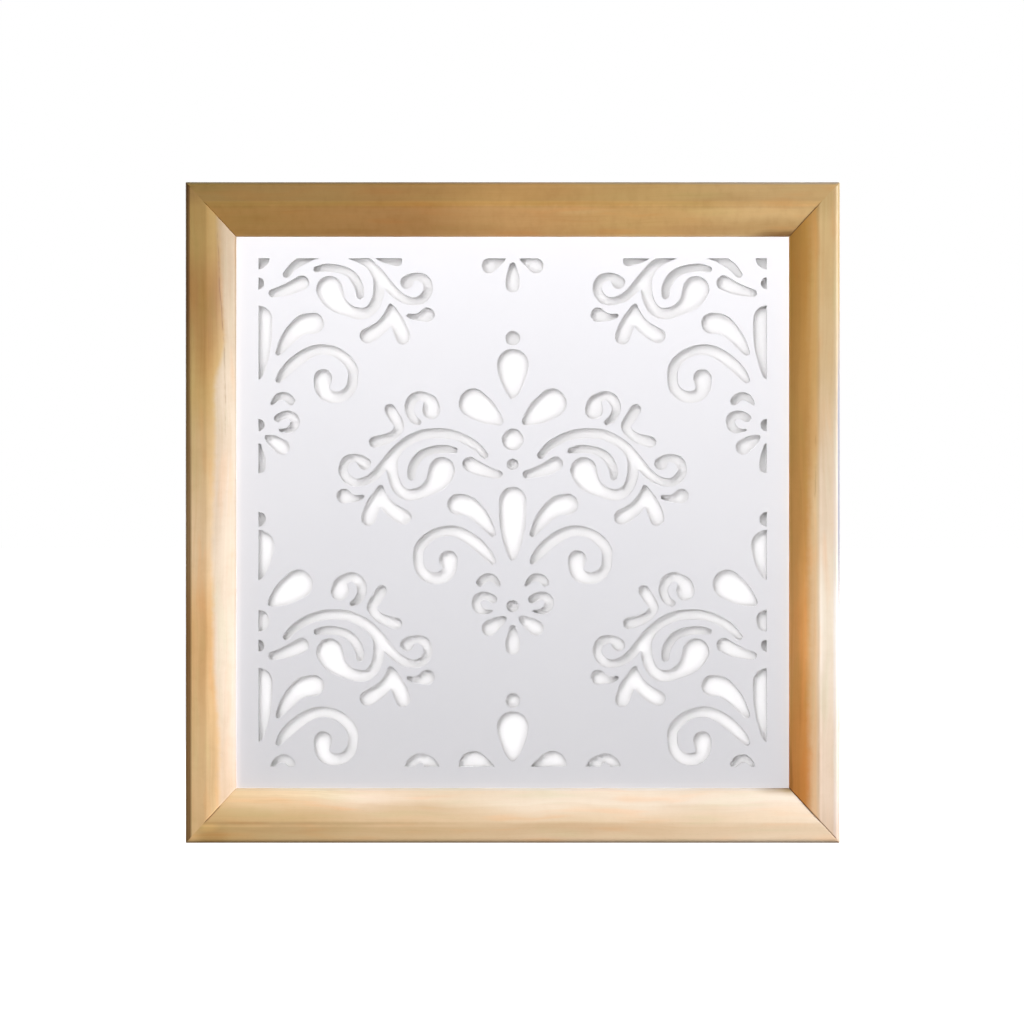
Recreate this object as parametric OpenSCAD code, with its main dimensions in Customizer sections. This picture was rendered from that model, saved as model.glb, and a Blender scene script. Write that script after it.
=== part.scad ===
// Framed fretwork panel: a mitred timber moulding with a rabbet, a thin cut-through
// ornament panel and a plain backing board behind it, held by turn buttons, with two
// ring hangers and two bumpers on the back.
// +X right, +Y towards the wall, +Z up. The origin is the middle of the bottom edge.

/* [Frame] */
// Width over the two stiles
frame_w = 400; // [396:1:420]
// Height over the two rails
frame_h = 404; // [400:1:424]
// Depth of the timber, front to back
frame_t = 18; // [18:0.5:22]
// Face width of the left and right stiles
stile_w = 30.8; // [30:0.2:33]
// Face width of the top and bottom rails
rail_w = 33.2; // [33:0.2:36]

/* [Moulding] */
// Share of a rail's face width taken by its flat outer band
rail_band = 0.36; // [0.34:0.01:0.4]
// Share of a stile's face width taken by its flat outer band
stile_band = 0.41; // [0.36:0.01:0.42]
// Radius of the outer front arris
arris_r = 3; // [1:0.25:3.5]
// Depth of the slope at the sight edge, below the flat band
slope_drop = 7.4; // [7:0.2:8.4]
// Depth from the band to the rabbet's shoulder
shoulder_d = 11; // [10.6:0.2:11.4]
// Width of the rabbet that holds the boards
rabbet_w = 7; // [6:0.5:7.5]

/* [Boards] */
// Thickness of the cut ornament panel
fret_t = 3; // [2:0.25:3]
// Gap between the boards and each side of the rabbet
board_gap = 0.5; // [0.3:0.1:1]
// Side of the square field that the ornament fills
field_w = 311.2; // [300:0.2:314]
// Steps along each stretch of an ornament stroke
stroke_steps = 2; // [2:1:3]

/* [Turn buttons] */
// Length of a turn button
button_l = 26; // [22:1:28]
// Width of a turn button
button_w = 10; // [8:0.5:10]
// Thickness of a turn button
button_t = 1.2; // [1:0.1:1.5]
// Distance of the rail buttons from the middle of the panel
rail_button_x = 100; // [80:5:120]
// Height of the lower buttons on the stiles
button_low_z = 90; // [75:5:110]
// Height of the upper buttons on the stiles
button_high_z = 314; // [310:2:324]

/* [Hangers] */
// Height of the ring's hinge line
hanger_z = 270; // [264:1:272]
// Distance of the hanger's middle line from the outer edge of the stile
hanger_inset = 12; // [10:0.5:13]
// Width of the strap
strap_w = 9; // [8:0.5:9]
// Length of the strap below the hinge line
strap_l = 24; // [23:0.5:26]
// Thickness of the strap's sheet
strap_t = 0.8; // [0.7:0.1:0.8]
// Diameter of the ring's wire
ring_wire = 2; // [1.6:0.2:2]
// Centre-line radius of the ring's bow
ring_r = 7; // [6.9:0.1:7.2]

/* [Screws and bumpers] */
// Shank diameter of the screws
screw_d = 3; // [2.8:0.1:3.2]
// Head diameter of the screws
head_d = 5.8; // [5.6:0.1:6.4]
// Height of the pan heads
head_h = 1.9; // [1.6:0.1:2]
// Length of the screws under the head
screw_l = 12; // [10:0.5:13]
// Diameter of the bumpers
bumper_d = 11; // [9:0.5:12]
// Height of the bumpers
bumper_h = 4; // [3.9:0.1:5]

/* [Hidden] */

// Front face of the timber, back face of the timber, and middle height of the opening
front_y = -frame_t/2;
back_y = frame_t/2;
mid_z = frame_h/2;
// Side of the boards' own outline, and their lowest and highest edge: they stand on the bottom rabbet
board_x = frame_w/2 - (stile_w - rabbet_w) - board_gap;
board_z0 = rail_w - rabbet_w;
board_z1 = frame_h - (rail_w - rabbet_w) - 2*board_gap;
// The backing board fills the rabbet to the back face of the timber
backing_t = frame_t - shoulder_d - fret_t;
// Distance of a button's pivot from the edge of the rabbet, and of its hole from its end
pivot_back = 5.3;
pivot_end = button_w/2;
// Running clearance of the buttons on their screws and of the rings in their knuckles
run_gap = 0.06;
// Radius of the pilot holes: the thread bites into the rest
pilot_r = screw_d/2 - 0.1;
// Hinge line of the rings behind the timber
ring_y = back_y + strap_t + ring_wire/2 + run_gap;
bumper_x = frame_w/2 - 28;
bumper_z = 13;

// ---------------------------------------------------------------- ornament
// The ornament is drawn on a grid in which the field is 509 units wide. Each stroke is a
// row of circles [distance from the axis, height above the middle, radius]; its outline
// is the smooth skin around them. One half is drawn and mirrored, and the whole motif
// repeats on a half-drop grid.
grid_w = 509;
unit = field_w/grid_w;
repeat_x = 254.5;
repeat_z = 181.5;

petal = [[39.5,109.5,14.5], [28.5,102,12.25], [21.5,97,9], [15.5,93,5.5], [13,91,3.5]];
curl = [[94.5,90.5,3], [100,94,4], [103.5,102,4.5], [102.5,109.5,5], [99,114.5,5],
  [92.5,117,4.5], [86,114.5,5], [82,110,7], [81.5,102.5,9]];
elbow = [[123,103,5.5], [118.5,95.5,5.5], [113.5,87,5], [117.5,79,4.5], [125.5,74,5], [138,70.5,5.75]];
stem = [[28,57,3.5], [34.5,64.5,4], [43,70.5,4.5], [54,76,4.5], [67.5,79,5], [82.5,79,5],
  [92,77.5,5], [105,71.5,5], [115,63.5,5], [123.5,54,5], [131.5,44,5], [141.5,34.5,4.5],
  [154,30,4], [163.5,32,4.5], [169.5,40,4.5], [169,47.5,4.5], [165.5,52.5,4.5],
  [158.5,54.5,4], [152,53,4.5], [148.5,49,6.5]];
loop = [[114.5,62,4], [119.5,54.5,5], [120.5,44.5,5.5], [119.5,34.5,5.5], [115.5,25,5.5],
  [108,18.5,5.5], [98.5,18,5.75], [90,21,6], [79.5,27.5,8.75], [73.5,35.5,12], [71,42,13.25]];
inner_comma = [[58,62,3], [67.5,63.5,4], [79.5,62.5,4], [90.5,58.5,4.25], [97.5,51,4.5],
  [101,42.5,4.25], [101.5,36,3.75]];
side_comma = [[43,48.5,7.25], [33,43.5,6.5], [22.5,40,5], [14,38,4]];
leaf = [[169,16.5,7.25], [162.5,14.5,4.5], [156.5,14,3.25], [150.5,15.5,2]];
fork_out = [[132,25,2.5], [133,22,4], [135,17,5.5], [138,10.5,7], [141.5,3,7.5], [143.5,-2.5,7.5], [144.5,-6,7.25]];
fork_in = [[132,24.5,2.5], [130.5,16,5], [126.5,8,6.5], [121.5,3,6.75], [114,-2,7.5], [109,-4.5,7.5]];
lobe = [[55,8,10.5], [45.5,7,10], [37.5,1.5,8.5], [30.5,-6,7.25], [25,-13.5,5.5], [20,-21.5,3]];
scroll = [[20,-49,3], [25,-42,5], [34.5,-32.5,6], [44.5,-25,6], [55.5,-19.5,5.5],
  [66.5,-18.5,5], [78.5,-21.5,5], [88.5,-29,5.25], [94,-37.5,5.25], [94.5,-47.5,5],
  [92.5,-57,5.25], [85.5,-64,5.5], [76.5,-66,5.75], [68,-63.5,6.5], [63.5,-56.5,7.25], [64.5,-47,9]];
arch = [[32.5,-70,4], [29,-66.5,4.25], [24,-65,4], [19,-66.5,3.5], [15.5,-70,2.5], [13.5,-72.5,1.5]];
hook = [[19.5,-87,4], [24,-84.5,4], [29.5,-83.5,4], [34.5,-85.5,4.5], [36.5,-90,4.5],
  [35,-95.5,4.25], [30.5,-99,3.25], [25.5,-99.5,2], [21.5,-99,1.25]];
low_comma = [[23.5,-116,7.5], [18,-112,6.5], [12,-108.5,4.5], [9,-106.5,2.75]];

side_strokes = [petal, curl, elbow, stem, loop, inner_comma, side_comma, leaf, fork_out,
  fork_in, lobe, scroll, arch, hook, low_comma];

axis_strokes = [
  [[0,148,15.75], [0,140.5,14.25], [0,131.5,11], [0,123,7.25], [0,117.5,3.5]],
  [[0,12,13.5], [0,2.5,13.5], [0,-9.5,13], [0,-21.5,11], [0,-32.5,8.25], [0,-41.5,5], [0,-45,3]],
  [[0,-115.5,3], [0,-121.5,4.75], [0,-128.5,6.75], [0,-135,7.25]]];
axis_dots = [[0,174.5,7.25], [0,73,10.75], [0,48,5.75], [0,-94,6]];

// Smooth blend between the second and third of four rows
function blend(a, b, c, d, t) =
  0.5*(2*b + (c - a)*t + (2*a - 5*b + 4*c - d)*t*t + (3*b - a - 3*c + d)*t*t*t);
function extended(p) = concat([2*p[0] - p[1]], p, [2*p[len(p)-1] - p[len(p)-2]]);
function along(p, k) = let (e = extended(p), n = len(p) - 1)
  [for (i = [0:n-1], j = [0:k-1]) blend(e[i], e[i+1], e[i+2], e[i+3], j/k), p[n]];
function flat(v) = [v[0], v[1]];
function polar(c, r, a) = [c[0] + r*cos(a), c[1] + r*sin(a)];
// Direction of travel, and the angle from it to the point where the skin touches the circle
function touch(s, i) = let (n = len(s) - 1, d = s[min(i+1, n)] - s[max(i-1, 0)], l = norm(flat(d)))
  [atan2(d[1], d[0]), acos(max(-0.95, min(0.95, -d[2]/l)))];
function cap_steps(r) = ceil(3 + 0.6*r);
// Closed outline of a stroke
function skin(p, k) = let (
    s = along(p, k), n = len(s) - 1,
    t = [for (i = [0:n]) touch(s, i)],
    m1 = cap_steps(s[n][2]), m0 = cap_steps(s[0][2]))
  concat(
    [for (i = [0:n]) polar(s[i], s[i][2], t[i][0] + t[i][1])],
    [for (j = [1:m1-1]) polar(s[n], s[n][2], t[n][0] + t[n][1]*(1 - 2*j/m1))],
    [for (i = [n:-1:0]) polar(s[i], s[i][2], t[i][0] - t[i][1])],
    [for (j = [1:m0-1]) polar(s[0], s[0][2], t[0][0] - t[0][1] - (360 - 2*t[0][1])*j/m0)]);
function ring_points(c, q) = [for (i = [0:q-1]) polar(c, c[2], 360*(i + 0.5)/q)];

// All outlines of one motif, in grid units
motif = concat(
  [for (p = side_strokes, side = [1, -1]) [for (v = skin(p, stroke_steps)) [side*v[0], v[1]]]],
  [for (p = axis_strokes) skin(p, stroke_steps)],
  [for (c = axis_dots) ring_points(c, 2*ceil(4 + 0.7*c[2]))]);
places = concat([[0, 0], [0, 2*repeat_z], [0, -2*repeat_z]],
  [for (a = [-1, 1], b = [-1, 1]) [a*repeat_x, b*repeat_z]]);

// A hole of the ornament, trimmed to the field where it crosses the field's edge
module cut_hole(pts) {
  x0 = min([for (v = pts) v[0]]); x1 = max([for (v = pts) v[0]]);
  z0 = min([for (v = pts) v[1]]); z1 = max([for (v = pts) v[1]]);
  f = grid_w/2;
  if (x0 > -f && x1 < f && z0 > -f && z1 < f) polygon(unit*pts);
  else if (x0 < f - 2 && x1 > 2 - f && z0 < f - 2 && z1 > 2 - f)
    intersection() { polygon(unit*pts); square(field_w, center = true); }
}

// Lays a flat drawing upright: its x runs along X, its y along Z, and it is d deep from y0 backwards
module upright(y0, d) { translate([0, y0 + d, 0]) rotate([90, 0, 0]) linear_extrude(d) children(); }

// ---------------------------------------------------------------- moulding
// Section of the moulding for a face width w, of which share is flat: [distance from the outer edge, depth below the band].
// Past the flat band the face falls away in a curve that steepens towards the sight edge.
slope_start = 0.24; // fall per millimetre just past the band
function curve_depth(x, len, drop) = slope_start*x + (drop/len - slope_start)*x*x/len;
function section(w, share) = let (b = share*w, s0 = b + 1, len = w - 1.2 - s0, drop = slope_drop - 0.2) concat(
  [[0, frame_t]],
  [for (i = [0:6]) [arris_r - arris_r*cos(90*i/6), arris_r - arris_r*sin(90*i/6)]],
  [[b - 1, 0], [b, 0.06]],
  [for (i = [0:8]) [s0 + len*i/8, 0.2 + curve_depth(len*i/8, len, drop)]],
  [[w - 0.6, slope_drop + 0.4], [w - 0.2, slope_drop + 0.8], [w, slope_drop + 1.3]],
  [[w, shoulder_d], [w - rabbet_w, shoulder_d], [w - rabbet_w, frame_t]]);

// Plan of a rail or stile from its outer edge inwards, with a mitre from corner to corner
module mitre_plan(len, w, side) {
  e = 0.2;
  polygon([[-len/2 - e*side, -e*w], [len/2 + e*side, -e*w],
    [len/2 - (1 + e)*side, (1 + e)*w], [-len/2 + (1 + e)*side, (1 + e)*w]]);
}

// A mitred piece of moulding, outer edge down, mitred at both ends
module moulding(len, w, side, share) {
  intersection() {
    rotate([90, 0, 90]) translate([0, 0, -len/2 - 1]) linear_extrude(len + 2)
      polygon([for (p = section(w, share)) [front_y + p[1], p[0]]]);
    upright(front_y - 1, frame_t + 2) mitre_plan(len, w, side);
  }
}

// A V-nail across each mitre, near the outer corner and near the inner one
nail_leg = 6.5; nail_t = 0.8; nail_h = 10;
module v_nail_plan() {
  for (sx = [-1, 1], sz = [0, 1], k = [0.25, 0.58])
    translate([sx*(frame_w/2 - k*stile_w), sz == 0 ? k*rail_w : frame_h - k*rail_w])
      scale([-sx, sz == 0 ? 1 : -1]) {
        translate([-nail_t/2, -nail_t/2]) square([nail_leg, nail_t]);
        translate([-nail_t/2, -nail_t/2]) square([nail_t, nail_leg]);
      }
}
module v_nail_solid() { upright(back_y - nail_h, nail_h) v_nail_plan(); }

// ---------------------------------------------------------------- screws
module screw(x, z, y) {
  translate([x, y, z]) rotate([90, 0, 0]) {
    difference() {
      rotate_extrude($fn = 48) polygon([[0, -head_h], [head_d/2 - 0.9, -head_h],
        [head_d/2 - 0.35, -head_h + 0.25], [head_d/2, -head_h + 0.85], [head_d/2, 0], [0, 0]]);
      for (a = [45, 135]) rotate([0, 0, a]) translate([-1.6, -0.35, -head_h - 1]) cube([3.2, 0.7, 2.2]);
    }
    cylinder(h = screw_l - 3, r = screw_d/2, $fn = 48);
    translate([0, 0, screw_l - 3]) cylinder(h = 3, r1 = screw_d/2, r2 = 0.3, $fn = 48);
  }
}
module pilot(x, z, depth) {
  translate([x, back_y + 1, z]) rotate([90, 0, 0]) cylinder(h = 1 + depth, r = pilot_r, $fn = 48);
}

// Turn buttons: [x, z, direction of the free end]
rail_in = rail_w - rabbet_w - pivot_back;
stile_in = frame_w/2 - (stile_w - rabbet_w - pivot_back);
top_left = [-rail_button_x, frame_h - rail_in, -90];
top_right = [rail_button_x, frame_h - rail_in, -90];
bottom_left = [-rail_button_x, rail_in, 90];
bottom_right = [rail_button_x, rail_in, 90];
left_upper = [-stile_in, button_high_z, 0];
left_lower = [-stile_in, button_low_z, 0];
right_upper = [stile_in, button_high_z, 180];
right_lower = [stile_in, button_low_z, 180];
buttons = [top_left, top_right, bottom_left, bottom_right, left_upper, left_lower, right_upper, right_lower];
hanger_x = frame_w/2 - hanger_inset;
hanger_screw_z = hanger_z - strap_l + 6;

module turn_button(b) {
  color([0.80, 0.78, 0.72])
  upright(back_y, button_t) translate([b[0], b[1]]) rotate(b[2]) difference() {
    union() {
      translate([0, -button_w/2]) square([button_l - button_w, button_w]);
      circle(d = button_w, $fn = 48);
      translate([button_l - button_w, 0]) circle(d = button_w, $fn = 48);
    }
    circle(r = screw_d/2 + run_gap, $fn = 48);
  }
}

// ---------------------------------------------------------------- hangers
// Strap with a rolled knuckle at its top, screwed to the back of a stile
module hanger_strap(x) {
  kr = ring_wire/2 + run_gap;
  color([0.83, 0.70, 0.40])
  difference() {
    union() {
      upright(back_y, strap_t) translate([x, hanger_z]) {
        translate([-strap_w/2, -strap_l + strap_w/2]) square([strap_w, strap_l - strap_w/2]);
        translate([0, -strap_l + strap_w/2]) circle(d = strap_w, $fn = 48);
      }
      translate([x - strap_w/2, ring_y, hanger_z]) rotate([0, 90, 0]) cylinder(h = strap_w, r = kr + strap_t, $fn = 48);
    }
    translate([x - strap_w/2 - 1, ring_y, hanger_z]) rotate([0, 90, 0]) cylinder(h = strap_w + 2, r = kr, $fn = 48);
    translate([x, back_y + strap_t + 1, hanger_screw_z]) rotate([90, 0, 0]) cylinder(h = strap_t + 2, r = screw_d/2 + 0.1, $fn = 48);
  }
}

// D-shaped wire ring, hanging down from its straight side
elbow_r = 2.2; ring_leg = 2;
module hanger_ring(x) {
  w = ring_wire/2;
  color([0.83, 0.70, 0.40])
  translate([x, ring_y, hanger_z]) rotate([90, 0, 0]) {
    translate([-(ring_r - elbow_r), 0, 0]) rotate([0, 90, 0]) cylinder(h = 2*(ring_r - elbow_r), r = w, $fn = 32);
    translate([ring_r - elbow_r, -elbow_r, 0]) rotate_extrude(angle = 90, $fn = 64) translate([elbow_r, 0]) circle(r = w, $fn = 32);
    translate([-(ring_r - elbow_r), -elbow_r, 0]) rotate([0, 0, 90]) rotate_extrude(angle = 90, $fn = 64) translate([elbow_r, 0]) circle(r = w, $fn = 32);
    for (s = [-1, 1]) translate([s*ring_r, -elbow_r, 0]) rotate([90, 0, 0]) cylinder(h = ring_leg, r = w, $fn = 32);
    translate([0, -elbow_r - ring_leg, 0]) rotate([0, 0, 180]) rotate_extrude(angle = 180, $fn = 64) translate([ring_r, 0]) circle(r = w, $fn = 32);
  }
}

// ---------------------------------------------------------------- pieces
module bottom_rail() {
  color([0.85, 0.67, 0.45]) difference() {
    moulding(frame_w, rail_w, stile_w, rail_band);
    v_nail_solid();
    for (b = [bottom_left, bottom_right]) pilot(b[0], b[1], screw_l - button_t);
  }
}
module top_rail() {
  color([0.75, 0.58, 0.36]) difference() {
    translate([0, 0, frame_h]) mirror([0, 0, 1]) moulding(frame_w, rail_w, stile_w, rail_band);
    v_nail_solid();
    for (b = [top_left, top_right]) pilot(b[0], b[1], screw_l - button_t);
  }
}
module left_stile() {
  color([0.83, 0.66, 0.45]) difference() {
    translate([-frame_w/2, 0, mid_z]) rotate([0, 90, 0]) moulding(frame_h, stile_w, rail_w, stile_band);
    v_nail_solid();
    for (b = [left_upper, left_lower]) pilot(b[0], b[1], screw_l - button_t);
    pilot(-hanger_x, hanger_screw_z, screw_l - strap_t);
  }
}
module right_stile() {
  color([0.86, 0.70, 0.50]) difference() {
    translate([frame_w/2, 0, mid_z]) rotate([0, -90, 0]) moulding(frame_h, stile_w, rail_w, stile_band);
    v_nail_solid();
    for (b = [right_upper, right_lower]) pilot(b[0], b[1], screw_l - button_t);
    pilot(hanger_x, hanger_screw_z, screw_l - strap_t);
  }
}
module v_nails() { color([0.62, 0.63, 0.65]) v_nail_solid(); }

module fretwork_panel() {
  color([0.94, 0.94, 0.94]) upright(front_y + shoulder_d, fret_t) difference() {
    translate([-board_x, board_z0]) square([2*board_x, board_z1 - board_z0]);
    translate([0, mid_z]) for (o = places, h = motif) cut_hole([for (v = h) v + o]);
  }
}
module backing_board() {
  color([0.97, 0.97, 0.96]) upright(back_y - backing_t, backing_t)
    translate([-board_x, board_z0]) square([2*board_x, board_z1 - board_z0]);
}
module turn_button_screws() {
  color([0.72, 0.72, 0.70]) for (b = buttons) screw(b[0], b[1], back_y + button_t);
}
module hanger_screws() {
  color([0.72, 0.72, 0.70]) for (s = [-1, 1]) screw(s*hanger_x, hanger_screw_z, back_y + strap_t);
}
module wall_bumpers() {
  color([0.25, 0.25, 0.25]) for (s = [-1, 1])
    translate([s*bumper_x, back_y, bumper_z]) rotate([-90, 0, 0]) rotate_extrude($fn = 48)
      polygon([[0, 0], [bumper_d/2, 0], [bumper_d/2 - 0.3, 1.6], [bumper_d/2 - 0.9, bumper_h - 0.7],
        [bumper_d/2 - 1.8, bumper_h], [0, bumper_h]]);
}

top_rail();
bottom_rail();
left_stile();
right_stile();
v_nails();
fretwork_panel();
backing_board();
turn_button(top_left);  // turn_button_top_left
turn_button(top_right);  // turn_button_top_right
turn_button(bottom_left);  // turn_button_bottom_left
turn_button(bottom_right);  // turn_button_bottom_right
turn_button(left_upper);  // turn_button_left_upper
turn_button(left_lower);  // turn_button_left_lower
turn_button(right_upper);  // turn_button_right_upper
turn_button(right_lower);  // turn_button_right_lower
turn_button_screws();
hanger_strap(-hanger_x);  // hanger_strap_left
hanger_strap(hanger_x);  // hanger_strap_right
hanger_ring(-hanger_x);  // hanger_ring_left
hanger_ring(hanger_x);  // hanger_ring_right
hanger_screws();
wall_bumpers();
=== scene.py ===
import math

import bmesh
import bpy
from mathutils import Matrix, Vector, noise
from mathutils.geometry import delaunay_2d_cdt


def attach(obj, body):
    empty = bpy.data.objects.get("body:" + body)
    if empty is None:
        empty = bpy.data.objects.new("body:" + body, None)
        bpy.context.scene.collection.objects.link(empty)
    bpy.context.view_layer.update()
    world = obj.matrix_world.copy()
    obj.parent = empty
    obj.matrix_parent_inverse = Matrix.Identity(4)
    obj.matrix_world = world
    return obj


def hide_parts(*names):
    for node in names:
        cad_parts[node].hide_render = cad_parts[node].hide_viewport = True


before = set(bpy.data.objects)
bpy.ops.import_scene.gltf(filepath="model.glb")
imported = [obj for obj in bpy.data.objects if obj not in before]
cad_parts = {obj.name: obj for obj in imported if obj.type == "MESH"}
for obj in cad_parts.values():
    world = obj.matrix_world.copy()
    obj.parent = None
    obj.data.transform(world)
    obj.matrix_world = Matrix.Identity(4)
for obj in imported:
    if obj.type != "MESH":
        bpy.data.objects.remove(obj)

# The framed fretwork panel: the finish of every surface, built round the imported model.
# Lengths in the helpers below are millimetres; mesh() turns them into metres.

scene = bpy.context.scene
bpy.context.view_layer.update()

# ------------------------------------------------------------------ sizes, as in the CAD model
FRAME_W, FRAME_H, FRAME_T = 400.0, 404.0, 18.0
STILE_W, RAIL_W = 30.8, 33.2
BANDS = {STILE_W: 0.41, RAIL_W: 0.36}
ARRIS, DROP, SHOULDER, RABBET = 3.0, 7.4, 11.0, 7.0
FRONT, BACK = -FRAME_T / 2, FRAME_T / 2
FRET_T, GAP, FIELD = 3.0, 0.5, 311.2
BOARD_X = FRAME_W / 2 - (STILE_W - RABBET) - GAP
BOARD_Z0 = RAIL_W - RABBET
BOARD_Z1 = FRAME_H - (RAIL_W - RABBET) - 2 * GAP
MID_Z = FRAME_H / 2
RUN = 0.06
WIRE, RING_R, ELBOW, LEG = 1.0, 7.0, 2.2, 2.0
STRAP_W, STRAP_L, STRAP_T = 9.0, 24.0, 0.8
HANG_X, HANG_Z = 188.0, 270.0
RING_Y = BACK + STRAP_T + WIRE + RUN
BUTTON_L, BUTTON_W, BUTTON_T = 26.0, 10.0, 1.2
BUTTONS = {
    "turn_button_top_left": (-100.0, 383.1, -90.0),
    "turn_button_top_right": (100.0, 383.1, -90.0),
    "turn_button_bottom_left": (-100.0, 20.9, 90.0),
    "turn_button_bottom_right": (100.0, 20.9, 90.0),
    "turn_button_left_upper": (-181.5, 314.0, 0.0),
    "turn_button_left_lower": (-181.5, 90.0, 0.0),
    "turn_button_right_upper": (181.5, 314.0, 180.0),
    "turn_button_right_lower": (181.5, 90.0, 180.0),
}


# ------------------------------------------------------------------ mesh helpers
def mesh(name, verts, faces, normals=None, smooth=True, sharp=None):
    """A mesh object from millimetre points. normals, if given, holds one vector per face corner."""
    me = bpy.data.meshes.new(name)
    me.from_pydata([(v[0] * 0.001, v[1] * 0.001, v[2] * 0.001) for v in verts], [], faces)
    me.validate(clean_customdata=False)
    me.polygons.foreach_set("use_smooth", [smooth] * len(me.polygons))
    if normals is not None and len(normals) == len(me.loops):
        me.normals_split_custom_set(normals)
    elif sharp is not None:
        me.set_sharp_from_angle(angle=math.radians(sharp))
    me.update()
    ob = bpy.data.objects.new(name, me)
    scene.collection.objects.link(ob)
    return ob


def outward(ob):
    """Makes a closed mesh's faces point outwards."""
    bm = bmesh.new()
    bm.from_mesh(ob.data)
    bmesh.ops.recalc_face_normals(bm, faces=bm.faces)
    bm.to_mesh(ob.data)
    bm.free()


def cut(ob, cutter, sharp=30, solver="EXACT"):
    """Takes the cutter's volume out of ob, for good."""
    m = ob.modifiers.new("cut", "BOOLEAN")
    m.operation, m.solver, m.object = "DIFFERENCE", solver, cutter
    bpy.context.view_layer.update()
    dg = bpy.context.evaluated_depsgraph_get()
    me = bpy.data.meshes.new_from_object(ob.evaluated_get(dg))
    ob.modifiers.clear()
    old, ob.data = ob.data, me
    bpy.data.meshes.remove(old)
    bpy.data.objects.remove(cutter)
    me.set_sharp_from_angle(angle=math.radians(sharp))
    me.polygons.foreach_set("use_smooth", [True] * len(me.polygons))
    me.update()
    return ob


def join_parts(parts):
    """One (verts, faces) from several."""
    vs, fs = [], []
    for v, f in parts:
        n = len(vs)
        vs += v
        fs += [[i + n for i in face] for face in f]
    return vs, fs


def block(x0, x1, y0, y1, z0, z1):
    v = [(x, y, z) for x in (x0, x1) for y in (y0, y1) for z in (z0, z1)]
    f = [[0, 1, 3, 2], [4, 6, 7, 5], [0, 4, 5, 1], [2, 3, 7, 6], [0, 2, 6, 4], [1, 5, 7, 3]]
    return v, f


def lathe(profile, n, place):
    """Turns (radius, height) points about an axis; place(x, y, h) gives the row-frame point. Ends on the axis close."""
    vs, fs, rings = [], [], []
    for r, h in profile:
        if r < 1e-6:
            rings.append([len(vs)] * n)
            vs.append(place(0, 0, h))
        else:
            rings.append(list(range(len(vs), len(vs) + n)))
            vs += [place(r * math.cos(2 * math.pi * i / n), r * math.sin(2 * math.pi * i / n), h) for i in range(n)]
    for a, b in zip(rings, rings[1:]):
        for i in range(n):
            j = (i + 1) % n
            face = []
            for k in (a[i], a[j], b[j], b[i]):
                if k not in face:
                    face.append(k)
            if len(face) > 2:
                fs.append(face)
    return vs, fs


def area2(p):
    return sum(p[i - 1][0] * p[i][1] - p[i][0] * p[i - 1][1] for i in range(len(p)))


def thin_out(loop, near=0.03, bow=0.004):
    """Drops points that nearly coincide with the last one, or lie on a straight stretch."""
    p = [loop[0]]
    for q in loop[1:]:
        if math.dist(p[-1], q) > near:
            p.append(q)
    if math.dist(p[0], p[-1]) <= near:
        p.pop()
    out = []
    n = len(p)
    for i in range(n):
        a, b, c = (out[-1] if out else p[i - 1]), p[i], p[(i + 1) % n]
        d = math.dist(a, c)
        h = abs((b[0] - a[0]) * (c[1] - a[1]) - (b[1] - a[1]) * (c[0] - a[0])) / max(d, 1e-9)
        if h > bow or d > 6.0:
            out.append(b)
    return out


def edge_normals(p):
    """Unit normals to the left of each edge p[i] -> p[i + 1]: into the material."""
    out = []
    for i in range(len(p)):
        a, b = p[i], p[(i + 1) % len(p)]
        d = math.dist(a, b)
        out.append((-(b[1] - a[1]) / d, (b[0] - a[0]) / d))
    return out


def offset(p, t):
    """The loop moved t into the material. Where that would fold over, points meet instead."""
    if t <= 0:
        return list(p)
    n, en = len(p), edge_normals(p)
    q = []
    for i in range(n):
        a, b = en[i - 1], en[i]
        k = 1 + a[0] * b[0] + a[1] * b[1]
        m = ((a[0] + b[0]) / max(k, 0.12), (a[1] + b[1]) / max(k, 0.12))
        q.append([p[i][0] + t * m[0], p[i][1] + t * m[1]])
    for _ in range(8):
        folded = False
        for i in range(n):
            j = (i + 1) % n
            if (q[j][0] - q[i][0]) * (p[j][0] - p[i][0]) + (q[j][1] - q[i][1]) * (p[j][1] - p[i][1]) < -1e-9:
                m = [(q[i][0] + q[j][0]) / 2, (q[i][1] + q[j][1]) / 2]
                q[i], q[j] = list(m), list(m)
                folded = True
        if not folded:
            break
    return [tuple(c) for c in q]


def fill(loops):
    """Triangulates the area inside loops[0] and outside the others. Gives triangles and, for each input point, its index in them."""
    pts, faces, first = [], [], []
    for k, loop in enumerate(loops):
        first.append(len(pts))
        ids = list(range(len(pts), len(pts) + len(loop)))
        pts += [Vector(c) for c in loop]
        faces.append(ids if area2(loop) > 0 else ids[::-1])
    co, _, tris, ov, _, of = delaunay_2d_cdt(pts, [], faces, 1, 1e-5)
    where = {}
    for i, src in enumerate(ov):
        for s in src:
            where[s] = i
    keep = [list(t) for t, src in zip(tris, of) if 0 in src and len(src) == 1]
    return [tuple(c) for c in co], keep, [[where[f + i] for i in range(len(loop))] for f, loop in zip(first, loops)]


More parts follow.
